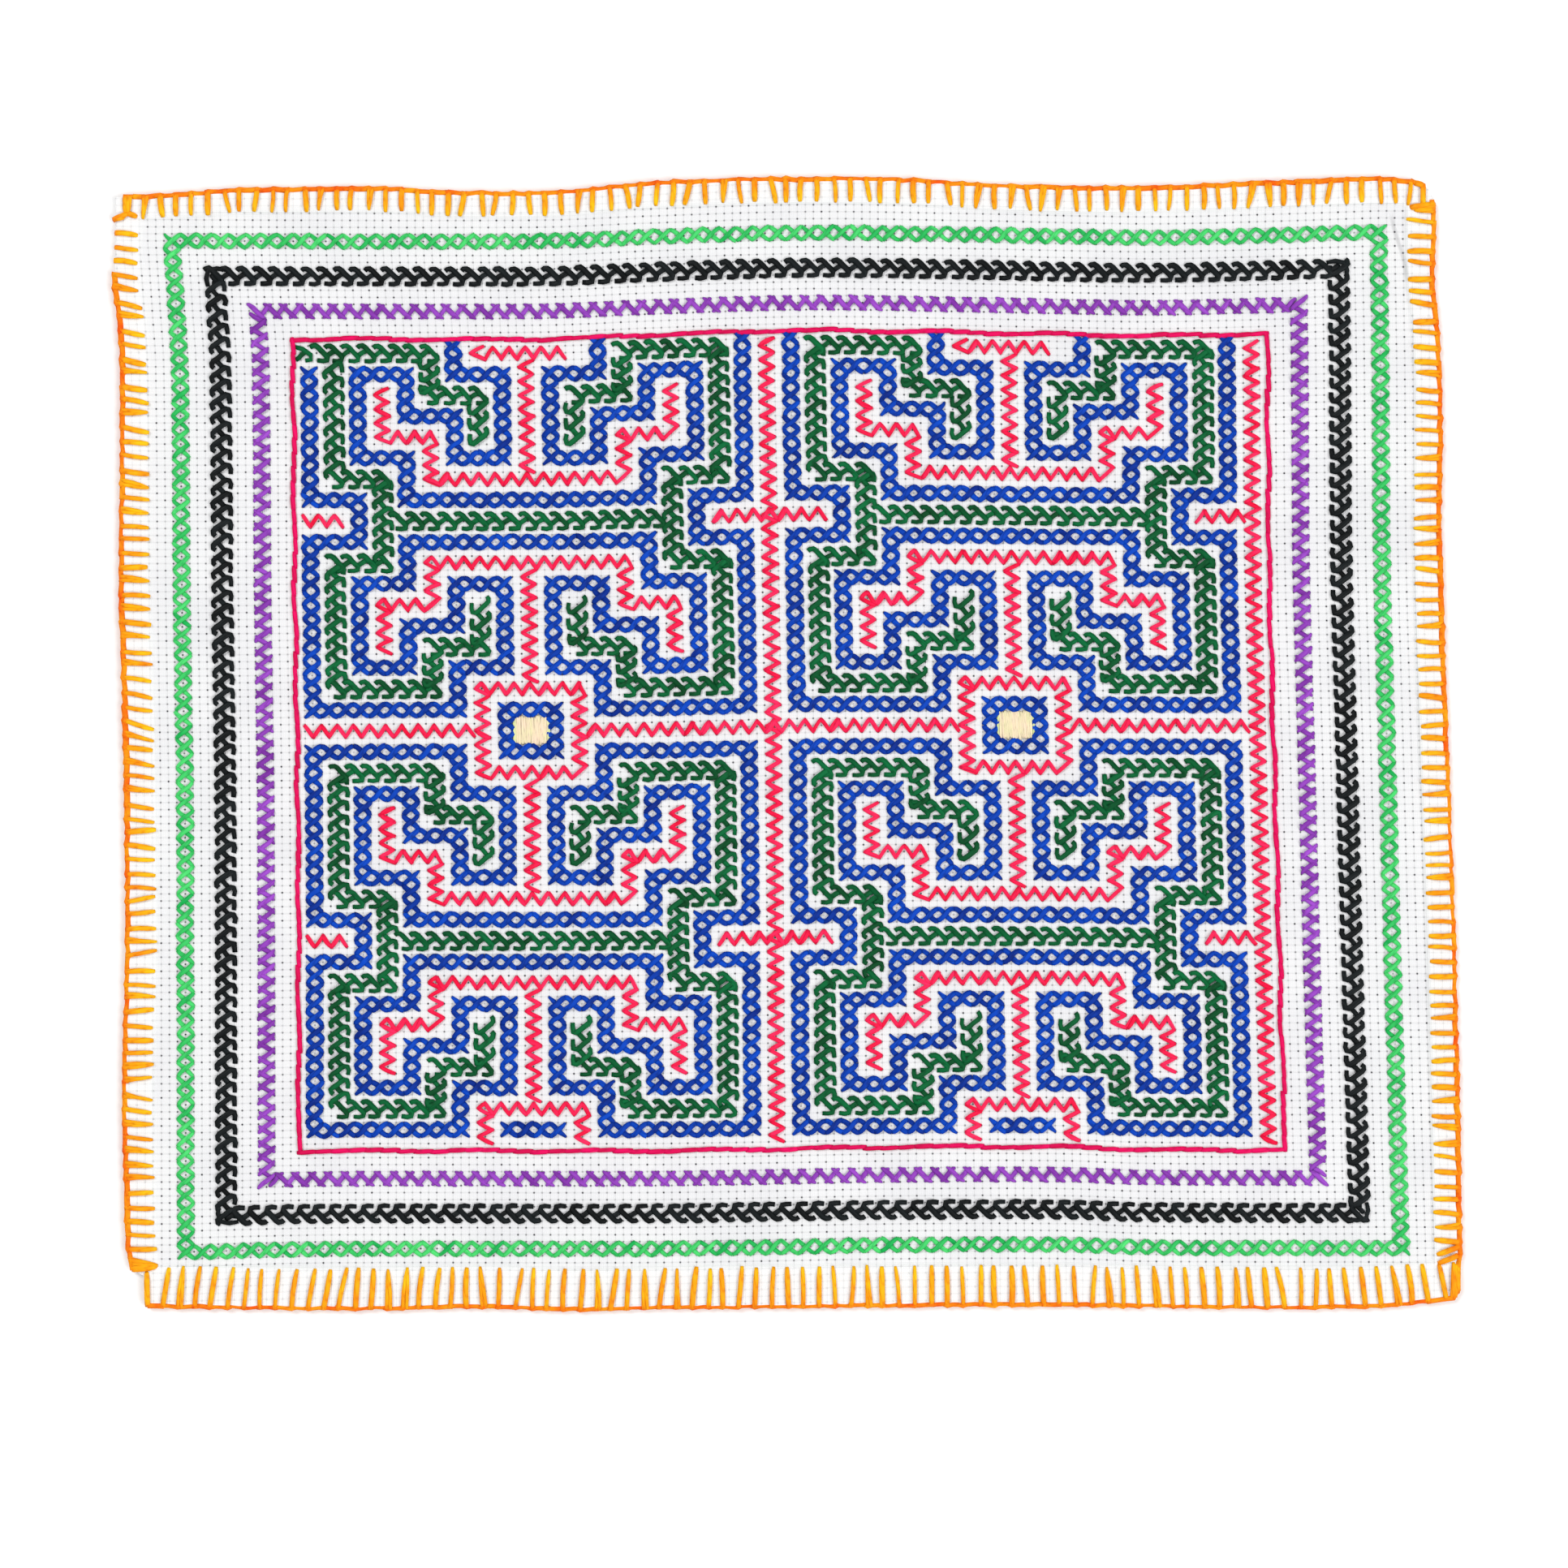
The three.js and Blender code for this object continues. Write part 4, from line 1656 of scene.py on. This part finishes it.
FINISHES = {
    Palette.ORANGE: ThreadFinish("orange_floss", (236, 84, 0), (255, 196, 16)),
    Palette.MAGENTA: ThreadFinish("magenta_floss", (204, 0, 72), (236, 4, 98)),
    Palette.PURPLE: ThreadFinish("purple_floss", (118, 44, 152), (158, 76, 200)),
    Palette.BLACK: ThreadFinish("black_floss", (6, 8, 9), (22, 28, 30), roughness=0.5),
    Palette.LIGHT_GREEN: ThreadFinish("light_green_floss", (16, 168, 78), (82, 220, 116)),
    Palette.BLUE: ThreadFinish("blue_floss", (0, 36, 126), (0, 72, 194), groove_shade=0.4),
    Palette.DARK_GREEN: ThreadFinish("dark_green_floss", (0, 62, 28), (0, 106, 56), groove_shade=0.4),
    Palette.RED: ThreadFinish("red_floss", (232, 6, 56), (255, 44, 96)),
    Palette.CREAM: ThreadFinish("cream_floss", (245, 218, 194), (214, 228, 156)),
}


class Embroidery:
    """All the stitched pieces: their making, their finishes and the nodes that they stand for."""

    def __init__(self, surface: Surface, nodes: list[str]) -> None:
        """Keeps what the pieces share.

        Args:
            surface: The cloth's face.
            nodes: The CAD nodes' names.
        """
        self.surface = surface
        self.nodes = nodes
        self.works: dict[str, Needlework] = {}
        self.made: list[bpy.types.Object] = []

    def work(self, node: str, counted: bool = True) -> Needlework:
        """Gives the needlework that stands for a node, started when first asked for.

        Args:
            node: The CAD node's name.
            counted: Whether its stitches are placed by squares of the weave.

        Returns:
            The needlework.
        """
        if node not in self.works:
            seed = self.nodes.index(node) + 11
            self.works[node] = Needlework(f"stitched_{node}", self.surface, seed, counted)
        return self.works[node]

    def finish(self, thread: Palette) -> None:
        """Makes the pieces sewn since the last finish and dresses them in one thread.

        Args:
            thread: The thread that they are sewn with.
        """
        material = thread.finish.material()
        for node, work in self.works.items():
            piece = work.make()
            piece.data.materials.append(material)
            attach(piece, BODY)
            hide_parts(node)
            self.made.append(piece)
            LOG.info("%s: %d faces", piece.name, len(piece.data.polygons))
        self.works = {}


@dataclass
class Maze:
    """The maze of blue chains, green feather stitches and red zigzags, and its two cream patches."""

    embroidery: Embroidery
    chart: Chart = Chart()
    blue: Floss = Floss(1.34, 0.64, 0.9, 0.9, 6, 6)
    hook: Floss = Floss(1.36, 0.68, 0.9, 0.8, 6, 9)
    link: Floss = Floss(1.28, 0.62, 0.85, 0.85, 6, 4)
    red: Floss = Floss(1.05, 0.6, 0.8, 0.8, 6, 4)
    cream: Floss = Floss(0.52, 0.42, 0.7, 0.7, 6, 5)
    patch: Rectangle = Rectangle(-2.1, 2.3, -2.05, 2.0)
    patch_strands: int = 23
    patch_path: tuple[Spot, ...] = ((0.0, 0.05), (0.12, 0.26), (0.5, 0.32), (0.88, 0.26), (1.0, 0.05))

    def build(self) -> None:
        """Sews every part of the maze."""
        self._sew_blue()
        self.embroidery.finish(Palette.BLUE)
        self._sew_green()
        self.embroidery.finish(Palette.DARK_GREEN)
        self._sew_red()
        self.embroidery.finish(Palette.RED)
        self._sew_patches()
        self.embroidery.finish(Palette.CREAM)

    def _finder(self, colour: Colour, bands: Bands) -> NodeFinder:
        """Gives the finder of a colour's nodes."""
        return NodeFinder(colour, bands, self.embroidery.surface.weave, self.embroidery.nodes)

    def _sew_blue(self) -> None:
        """Sews the blue chains; the first column starts below the green row."""
        bands = self.chart.bands(Colour.BLUE)
        finder = self._finder(Colour.BLUE, bands)
        chain = ChainStitch(self.blue)
        for v, spans in sorted(bands.rows.items()):
            for low, high in spans:
                chain.run((low, v), (high, v), FIELD)
        below = Rectangle(FIELD.left, FIELD.right, self.chart.pitch, FIELD.bottom)
        for u, spans in sorted(bands.columns.items()):
            for low, high in spans:
                chain.run((u, low), (u, high), below if u == 0 else FIELD)
        for spot in sorted(chain.crosses):
            chain.sew(spot, self.embroidery.work(finder.find(*spot)))

    def _sew_green(self) -> None:
        """Sews the green feather stitches; level runs open to the left, inner columns up, outer ones down."""
        bands = self.chart.bands(Colour.GREEN)
        finder = self._finder(Colour.GREEN, bands)
        stitch = FeatherStitch(self.hook, self.link)
        middles = [column * self.chart.pitch for column in self.chart.columns]
        for level, line, start, stop in bands.spans():
            if level:
                lead = 0.6 if (start, line) == (FIELD.left, 0) else 0
                run = Run(start - lead, line, (1, 0), stop - start + lead)
            else:
                run = self._upright_run(bands, line, start, stop, middles)
            count = math.floor(run.length / STITCH + 0.6)
            unit = run.length / count
            opened = 1 if (level, run.v) == (True, 0) and start == FIELD.left else 0
            if opened:
                stitch.open_end(run, unit, self.embroidery.work(finder.find(0, 0)))
            for k in range(opened, count):
                spot = run.at((k + 0.5) * unit, 0)
                stitch.sew(run, unit, k, self.embroidery.work(finder.find(*spot)), k < count - 1)

    def _upright_run(self, bands: Bands, line: int, start: int, stop: int, middles: list[int]) -> Run:
        """Gives the run of an upright green band, which reaches into the corners at its ends.

        Args:
            bands: The green bands.
            line: Its column.
            start: Its first square.
            stop: Its last.
            middles: The motifs' middle columns.

        Returns:
            The run, which heads down near a motif's middle and up near its outside.
        """
        top, foot = float(start), float(stop)
        if bands.crossed(False, line, start - 1, inside=False):
            top += 0.5 if bands.crossed(False, line, start - 1, inside=True) else -0.7
        if bands.crossed(False, line, stop + 1, inside=False):
            foot += -0.2 if bands.crossed(False, line, stop + 1, inside=True) else 0.7
        if min(abs(line - middle) for middle in middles) < 5 * self.chart.pitch:
            return Run(line, top, (0, 1), foot - top)
        return Run(line, foot, (0, -1), foot - top)

    def _sew_red(self) -> None:
        """Sews the red zigzags."""
        bands = self.chart.bands(Colour.RED)
        finder = self._finder(Colour.RED, bands)
        stitch = ZigzagRow(self.red)
        corners: dict[tuple[int, int], list[tuple[float, float]]] = {}
        strands = []
        for leg in bands.legs():
            holes = [stitch.hole(leg.level, leg.line, k) for k in range(leg.first, leg.last + 1)]
            strands += zip(holes, holes[1:])
            for corner, hole in ((leg.start, holes[0]), (leg.end, holes[-1])):
                if corner:
                    corners.setdefault(corner, []).append(hole)
        strands += [tuple(holes) for holes in corners.values() if len(holes) == 2]
        for start, end in strands:
            middle = ((start[0] + end[0]) / 2, (start[1] + end[1]) / 2)
            stitch.sew(start, end, self.embroidery.work(finder.find(*middle)))

    def _sew_patches(self) -> None:
        """Fills the two small squares with upright satin stitches."""
        middle = sum(self.chart.small_squares) / 2 * self.chart.pitch
        for number, column in enumerate(self.chart.columns):
            work = self.embroidery.work(f"satin_patch_{number + 1}")
            left, right = (column * self.chart.pitch + side for side in (self.patch.left, self.patch.right))
            last = self.patch_strands - 1
            for k in range(self.patch_strands):
                u = left + (right - left) * k / last + work.jitter(0.03)
                edge = min(k, last - k) / self.patch_strands
                tone = max(0.0, 1.1 - 18 * edge) + float(work.chance.uniform(0, 0.35))
                top = middle + self.patch.top + work.jitter(0.2)
                bottom = middle + self.patch.bottom + work.jitter(0.2)
                path = [(top + (bottom - top) * t, height) for t, height in self.patch_path]
                work.sew([(u + work.jitter(0.05), v, height) for v, height in path], self.cream, (tone, tone))


@dataclass
class Borders:
    """The four border rows round the maze, and how many squares outside its frame line the others lie."""

    embroidery: Embroidery
    purple_out: int = 4
    black_out: int = 9
    green_out: int = 14
    frame: Floss = Floss(1.2, 0.64, 0.75, 0.75, 6, 4)
    purple: Floss = Floss(1.28, 0.62, 0.34, 0.34, 6, 5)
    purple_under: Floss = Floss(1.18, 0.58, 0.34, 0.34, 6, 5)
    hook: Floss = Floss(1.46, 0.7, 0.85, 0.8, 6, 9)
    link: Floss = Floss(1.3, 0.64, 0.8, 0.8, 6, 4)
    green: Floss = Floss(1.14, 0.6, 0.8, 0.8, 6, 6)
    rounding: Course = (
        (-1.5, 0.85, 0.15), (-0.4, 1.02, 0.4), (0.72, 0.74, 0.5), (1.02, -0.4, 0.4), (0.9, -1.5, 0.15),
    )  # fmt: skip

    @staticmethod
    def _ring(out: float, lead: float) -> list[Run]:
        """Gives a ring's four sides, clockwise from the top left.

        Args:
            out: Squares outside the frame.
            lead: How far before its corner each side starts.

        Returns:
            The four runs, each with its side's own length.
        """
        left, right = FRAME.left - out, FRAME.right + out
        top, bottom = FRAME.top - out, FRAME.bottom + out
        return [
            Run(left - lead, top, (1, 0), right - left),
            Run(right, top - lead, (0, 1), bottom - top),
            Run(right + lead, bottom, (-1, 0), right - left),
            Run(left, bottom + lead, (0, -1), bottom - top),
        ]

    def build(self) -> None:
        """Sews the four rows."""
        self._sew_frame()
        self.embroidery.finish(Palette.MAGENTA)
        self._sew_purple()
        self.embroidery.finish(Palette.PURPLE)
        self._sew_black()
        self.embroidery.finish(Palette.BLACK)
        self._sew_green()
        self.embroidery.finish(Palette.LIGHT_GREEN)

    def _sew_row(self, stitch: CrossedRow | FeatherStitch, out: int, work: Needlework) -> None:
        """Sews one kind of stitch all the way round.

        Args:
            stitch: The stitch.
            out: Squares outside the frame.
            work: The piece.
        """
        for run in self._ring(out, 1):
            count = round(run.length / STITCH)
            for k in range(count):
                stitch.sew(run, run.length / count, k, work)

    def _sew_frame(self) -> None:
        """Sews the stem-stitched line next to the maze."""
        work = self.embroidery.work("border_frame_line")
        stitch = StemRow(self.frame)
        for run in self._ring(0, 0):
            stitch.sew(run, work)

    def _sew_purple(self) -> None:
        """Sews the crossed purple row."""
        work = self.embroidery.work("border_purple_cross")
        self._sew_row(CrossedRow(self.purple, self.purple_under), self.purple_out, work)

    def _sew_black(self) -> None:
        """Sews the hooked black row and rounds its corners with a loop each."""
        work = self.embroidery.work("border_black_feather")
        self._sew_row(FeatherStitch(self.hook, self.link), self.black_out, work)
        for run, (right, down) in zip(self._ring(self.black_out, 0), ((-1, -1), (1, -1), (1, 1), (-1, 1))):
            points = [(run.u + u * right, run.v + v * down, height) for u, v, height in self.rounding]
            work.sew(points, self.link)

    def _sew_green(self) -> None:
        """Sews the light green chain."""
        chain = ChainStitch(self.green, bow=0.62, tip=0.97)
        for run in self._ring(self.green_out, 0):
            chain.run((run.u, run.v), run.at(run.length, 0))
        work = self.embroidery.work("border_green_chain")
        for spot in sorted(chain.crosses):
            chain.sew(spot, work)


@dataclass
class BlanketEdge:
    """The orange blanket stitch: a thread along the edge, with legs over the hem and under it.

    The corners' stitches are crowded, so they are listed one by one: the edge's thread as lines of
    points, and the legs each from the edge to its tip.
    """

    embroidery: Embroidery
    leg: Floss = Floss(1.34, 0.62, 0.95, 0.62, 6, 6)
    widths: tuple[float, ...] = (1.14, 1.32, 1.44)
    thin: float = 0.98
    doubled: float = 0.2
    under: Floss = Floss(0.85, 0.34, 0.9, 0.7, 6, 4)
    cord: Floss = Floss(1.24, 1.4, 1.08, 1.08, 6, 5)
    inset: float = 0.66
    bare_above: float = 124.5
    spacing: float = 2
    drift: float = 0.32
    apart: float = 0.95
    turns: tuple[tuple[Spot, ...], ...] = (
        ((-171.6, 141.6), (-169, 141.6), (-166.3, 141.5)),
        ((161.2, 145.7), (162.6, 145.1)),
        ((166.7, 140.6), (167.1, 137.6), (167.0, 134.8)),
        (
            (173.8, -128.8), (174.1, -131.8), (173.6, -134.2), (173.5, -140.9), (172.2, -143.2),
            (165.8, -144.1),
        ),
        ((-161.5, -145.3), (-165.2, -145.2)),
        ((-169.3, -135.8), (-169.9, -132.8), (-170.2, -130.5)),
    )  # fmt: skip
    corner_legs: tuple[tuple[Spot, Spot], ...] = (
        ((-171.2, 141.6), (-171.1, 137.2)), ((-170.0, 141.6), (-170.5, 137.3)),
        ((-174.2, 135.6), (-170.4, 137.2)), ((-170.6, 137.3), (-168.2, 136.4)),
        ((-174.1, 135.7), (-171.5, 136.2)),
        ((162.4, 145.1), (164.5, 144.5)), ((164.4, 144.8), (164.3, 138.9)),
        ((167.4, 139.3), (161.0, 139.0)), ((167.4, 138.6), (161.2, 138.6)), ((167.2, 137.9), (162.2, 138.2)),
        ((167.4, 139.7), (162.8, 139.2)),
        ((174.0, -129.8), (168.0, -132.0)), ((173.4, -132.2), (168.3, -134.2)),
        ((170.4, -143.4), (168.5, -134.4)),
        ((172.0, -143.2), (172.3, -134.0)), ((172.7, -142.8), (172.9, -134.4)),
        ((173.3, -141.8), (173.3, -134.9)),
        ((-165.4, -145.2), (-165.6, -136.4)), ((-169.9, -133.2), (-162.8, -134.9)),
        ((-169.7, -134.1), (-163.0, -135.1)), ((-169.6, -135.3), (-163.2, -135.2)),
        ((-169.3, -135.9), (-164.0, -135.5)),
    )  # fmt: skip

    def build(self) -> None:
        """Sews the edge, side by side."""
        work = self.embroidery.work("edge_stitching", counted=False)
        for side in self.embroidery.surface.outline.sides:
            even = side.stations(self.spacing * side.square)
            stations = [even[0], *(station + work.jitter(self.drift) for station in even[1:-1]), even[-1]]
            for station in stations:
                self._leg(side, station, work)
            for before, after in zip(stations, stations[1:]):
                if side.inward != (1, 0) or after < self.bare_above:
                    self._edge(side, before, after, work)
        for turn in self.turns:
            self._turn(turn, work)
        for start, end in self.corner_legs:
            self._corner_leg(start, end, work)
        self.embroidery.finish(Palette.ORANGE)

    def _leg(self, side: Side, station: float, work: Needlework) -> None:
        """Sews one leg over the hem, now and then doubled, and its return beneath.

        Args:
            side: The side that it belongs to.
            station: Its place along the side.
            work: The piece.
        """
        slip = work.jitter(1.0)
        lean = float(side.lean.at(np.array(station))) + 0.4 * slip + 1.1 * slip**5
        reach = float(side.leg.at(np.array(station))) + work.jitter(0.3)
        tones = (0.35, 0.95 + work.jitter(0.3))
        strands = 2 if work.chance.uniform() < self.doubled else 1
        floss = replace(self.leg, width=float(work.chance.choice(self.widths)) if strands == 1 else self.thin)
        for copy in range(strands):
            bow = work.jitter(0.25)
            apart = self.apart * copy
            top = HEM_TOP + 0.34 + 0.1 * copy
            rows = (
                (0.35, 0.0, 1.35),
                (0.95, 0.05, top),
                (0.45 * reach, 0.4, top + 0.05),
                (0.85 * reach, 0.85, top),
                (reach, 1.0, HEM_TOP - 0.1),
            )
            points = []
            for inset, share, z in rows:
                along = station + lean * share + bow * math.sin(math.pi * share) + apart * (1 - share)
                x, y = side.point(along, inset)
                points.append((x, y, z + self.embroidery.surface.rise(x, y)))
            work.sew(points, floss, tones)
        beneath = ((0.35, 0.0, 0.9), (0.95, 0.1, 0.26), (0.6 * reach, 0.6, 0.24), (reach, 1.0, 0.36))
        below = []
        for inset, share, z in beneath:
            x, y = side.point(station + lean * share, inset)
            below.append((x, y, z))
        work.sew(below, self.under, (0.3, 0.7))

    def _edge(self, side: Side, before: float, after: float, work: Needlework) -> None:
        """Sews the thread along the edge between two legs, and a little past each.

        Args:
            side: The side.
            before: The first leg's station.
            after: The next leg's.
            work: The piece.
        """
        reach = (after - before) * 0.16
        points = []
        for station, inset, z in (
            (before - reach, self.inset + 0.1, 1.6),
            (before + reach * 0.4, self.inset - 0.1 + work.jitter(0.26), 1.5),
            ((before + after) / 2, self.inset + 0.1 + work.jitter(0.2), 1.35),
            (after - reach * 0.4, self.inset - 0.08 + work.jitter(0.26), 1.45),
            (after + reach, self.inset + 0.15, 1.55),
        ):
            x, y = side.point(station, inset)
            points.append((x, y, z))
        tone = float(work.chance.uniform(0, 0.35))
        work.sew(points, replace(self.cord, width=side.cord), (tone, tone))

    def _turn(self, places: tuple[Spot, ...], work: Needlework) -> None:
        """Carries the edge's thread along a corner's points.

        Args:
            places: The points.
            work: The piece.
        """
        for (x0, y0), (x1, y1) in zip(places, places[1:]):
            points = [(x0 + (x1 - x0) * t, y0 + (y1 - y0) * t, 1.45) for t in (-0.06, 0.2, 0.5, 0.8, 1.06)]
            tone = float(work.chance.uniform(0.05, 0.35))
            work.sew(points, self.cord, (tone, tone))

    def _corner_leg(self, start: Spot, end: Spot, work: Needlework) -> None:
        """Sews one of a corner's crowded legs.

        Args:
            start: Its root at the edge.
            end: Its tip.
            work: The piece.
        """
        top = HEM_TOP + 0.36 + work.jitter(0.06)
        (x0, y0), (x1, y1) = start, end
        rows = ((-0.03, 1.4), (0.12, top), (0.45, top + 0.06), (0.85, top), (1.0, HEM_TOP - 0.1))
        points = [(x0 + (x1 - x0) * t, y0 + (y1 - y0) * t, z) for t, z in rows]
        work.sew(points, self.leg, (0.3, 0.8 + work.jitter(0.2)))


@dataclass
class Cloth:
    """The white cloth: a thin closed sheet with a thicker, folded hem.

    Its inner points lie mesh_step apart. Those within follows of a side keep to its line, and from there to
    faded_out they do so less and less. All three are in millimetres.
    """

    surface: Surface
    inset: float = 0.62
    rim: float = 0.35
    mesh_step: float = 2.3
    follows: float = 16
    faded_out: float = 60
    flat: tuple[float, float] = (0.355, 0.3075)
    span_x: tuple[float, float] = (-172.2, 170.6)
    span_y: tuple[float, float] = (-145.4, 144.4)

    def _stations(self, low: float, high: float, low_hem: float, high_hem: float) -> np.ndarray:
        """Gives the sheet's lines of points along one direction, close together at the hem.

        Args:
            low: The first side's place.
            high: The last side's place.
            low_hem: The hem's width at the first.
            high_hem: The hem's width at the last.

        Returns:
            Places in millimetres, in rising order.
        """

        def near(hem: float) -> list[float]:
            """Lists insets from a side to just past its hem."""
            fold = (hem + away for away in (-1.0, -0.6, -0.2, 0.2, 0.6, 1.6))
            return [0.0, 1.0, 2.4, *np.arange(4.0, hem - 1.2, 1.6), *fold]

        first = [low + inset for inset in near(low_hem)]
        last = sorted(high - inset for inset in near(high_hem))
        count = round((last[0] - first[-1]) / self.mesh_step)
        middle = np.linspace(first[-1], last[0], count + 1)[1:-1]
        return np.array([*first, *middle, *last])

    def _between(self, at: np.ndarray, low: np.ndarray, high: np.ndarray) -> np.ndarray:
        """Moves places near the sheet's two sides so that the sides follow their lines.

        Args:
            at: Places along one direction.
            low: The first side's line at each.
            high: The last side's.

        Returns:
            The moved places.
        """
        first, last = at.min(), at.max()
        fade = self.faded_out - self.follows
        near_low, near_high = (ease((self.faded_out - away) / fade) for away in (at - first, last - at))
        return at + (low + self.inset - first) * near_low + (high - self.inset - last) * near_high

    def _warp(self, mesh: bpy.types.Mesh, xs: np.ndarray, ys: np.ndarray) -> None:
        """Moves the grid's points to the cloth's own outline and heights.

        Args:
            mesh: The slab, from -1 to 1 both ways, its upper face at z 1.
            xs: Places across.
            ys: Places up.
        """
        places = np.array([vertex.co for vertex in mesh.vertices])
        column = np.round((places[:, 0] + 1) / 2 * (len(xs) - 1)).astype(int)
        row = np.round((places[:, 1] + 1) / 2 * (len(ys) - 1)).astype(int)
        across, up = xs[column], ys[row]
        x, y = across, up
        outline = self.surface.outline
        for _ in range(4):
            x = self._between(across, outline.left.line.at(y), outline.right.line.at(y))
            y = self._between(up, outline.bottom.line.at(x), outline.top.line.at(x))
        hem, rise = outline.hem(x, y), self.surface.rise(x, y)
        under = UNDER_CLOTH + (UNDER_HEM - UNDER_CLOTH) * hem + rise * (1 - hem)
        z = np.where(places[:, 2] > 0.5, self.surface.top(x, y), under)
        mesh.vertices.foreach_set("co", (np.stack([x, y, z], axis=1) * MM).astype("f4").ravel())
        mesh.update()

    def _mark(self, mesh: bpy.types.Mesh) -> None:
        """Writes the squares of the weave and the hem on the finished sheet.

        Args:
            mesh: The sheet.
        """
        places = np.array([vertex.co for vertex in mesh.vertices]) / MM
        u, v = self.surface.weave.squares(places[:, 0], places[:, 1])
        corners = np.zeros(len(mesh.loops), int)
        mesh.loops.foreach_get("vertex_index", corners)
        for old in list(mesh.uv_layers):
            mesh.uv_layers.remove(old)
        squares = mesh.uv_layers.new(name="squares")
        squares.data.foreach_set("uv", np.stack([u, v], axis=1)[corners].astype("f4").ravel())
        hem = mesh.attributes.new("hem", "FLOAT", "POINT")
        hem.data.foreach_set("value", self.surface.outline.hem(places[:, 0], places[:, 1]).astype("f4"))

    def build(self) -> bpy.types.Object:
        """Makes the sheet and dresses it.

        Returns:
            The cloth.
        """
        middle = np.array(0.0)
        top, right, bottom, left = (float(side.hem(middle, middle)) for side in self.surface.outline.sides)
        xs, ys = self._stations(*self.span_x, left, right), self._stations(*self.span_y, bottom, top)
        deselect_all()
        bpy.ops.mesh.primitive_grid_add(x_subdivisions=len(xs) - 1, y_subdivisions=len(ys) - 1, size=2)
        cloth = bpy.context.object
        cloth.name = cloth.data.name = "white_cloth"
        draw_up(1)
        self._warp(cloth.data, xs, ys)
        rounding = cloth.modifiers.new("rounded_fold", "BEVEL")
        rounding.width = self.rim * MM
        rounding.segments = 3
        rounding.limit_method = "ANGLE"
        rounding.angle_limit = math.radians(55)
        bpy.ops.object.modifier_apply(modifier=rounding.name)
        bpy.ops.object.shade_smooth()
        self._mark(cloth.data)
        cloth.data.materials.append(CottonFinish().material(self.surface.weave))
        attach(cloth, BODY)
        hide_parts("cloth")
        LOG.info("%s: %d faces", cloth.name, len(cloth.data.polygons))
        return cloth


@dataclass
class Studio:
    """A pale floor, soft light and the camera straight above."""

    frame_w: float = 405.72
    aim: tuple[float, float] = (-0.84, -10.29)
    lens: float = 85.0
    sensor: float = 36.0
    floor_size: float = 30
    sky: float = 0.5

    def build(self) -> bpy.types.Object:
        """Makes the floor, lights and camera.

        Returns:
            The floor.
        """
        floor = self._floor()
        self._camera()
        self._light("key", (-2.2, 2.0, 3.6), 2.0, 110.0)
        self._light("fill", (3.0, -1.6, 3.2), 3.2, 142.0)
        world = bpy.context.scene.world or bpy.data.worlds.new("studio")
        bpy.context.scene.world = world
        world.use_nodes = True
        world.node_tree.nodes["Background"].inputs["Color"].default_value = (1, 1, 1, 1)
        world.node_tree.nodes["Background"].inputs["Strength"].default_value = self.sky
        bpy.context.scene.view_settings.view_transform = "Standard"
        return floor

    def _floor(self) -> bpy.types.Object:
        """Makes the floor, which isn't part of the object.

        Returns:
            The floor.
        """
        deselect_all()
        bpy.ops.mesh.primitive_plane_add(size=self.floor_size)
        floor = bpy.context.object
        floor.name = "floor"
        material, _, shader = new_material("pale_floor")
        shader.inputs["Base Color"].default_value = (0.93, 0.93, 0.93, 1)
        shader.inputs["Roughness"].default_value = 0.95
        shader.inputs["Specular IOR Level"].default_value = 0.1
        floor.data.materials.append(material)
        return floor

    def _camera(self) -> None:
        """Hangs the camera over the middle of the photograph's frame."""
        data = bpy.data.cameras.new("camera")
        data.lens, data.sensor_width = self.lens, self.sensor
        camera = bpy.data.objects.new("camera", data)
        bpy.context.scene.collection.objects.link(camera)
        height = self.frame_w / self.sensor * self.lens + CLOTH_TOP
        camera.location = (self.aim[0] * MM, self.aim[1] * MM, height * MM)
        bpy.context.scene.camera = camera

    @staticmethod
    def _light(name: str, place: tuple[float, float, float], size: float, power: float) -> None:
        """Hangs a soft square light that faces the cloth.

        Args:
            name: Its name.
            place: Where it hangs, in metres.
            size: Its side, in metres.
            power: Its power, in watts.
        """
        data = bpy.data.lights.new(name, "AREA")
        data.size, data.energy = size, power
        light = bpy.data.objects.new(name, data)
        bpy.context.scene.collection.objects.link(light)
        light.location = place
        light.rotation_mode = "QUATERNION"
        light.rotation_quaternion = (-Vector(place)).to_track_quat("-Z", "Y")


def corners(bounds: tuple[Vector, Vector]) -> list[list[float]]:
    """Gives a box's two corners as plain lists."""
    return [list(corner) for corner in bounds]


def main() -> None:
    """Builds the cloth in its studio, piece by piece."""
    logging.basicConfig(level=logging.INFO, format="%(name)s %(message)s")
    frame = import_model()
    floor = Studio().build()
    surface = Surface()
    cloth = Cloth(surface).build()
    embroidery = Embroidery(surface, sorted(frame["nodes"]))
    Maze(embroidery).build()
    Borders(embroidery).build()
    BlanketEdge(embroidery).build()


if __name__ == "__main__":
    main()
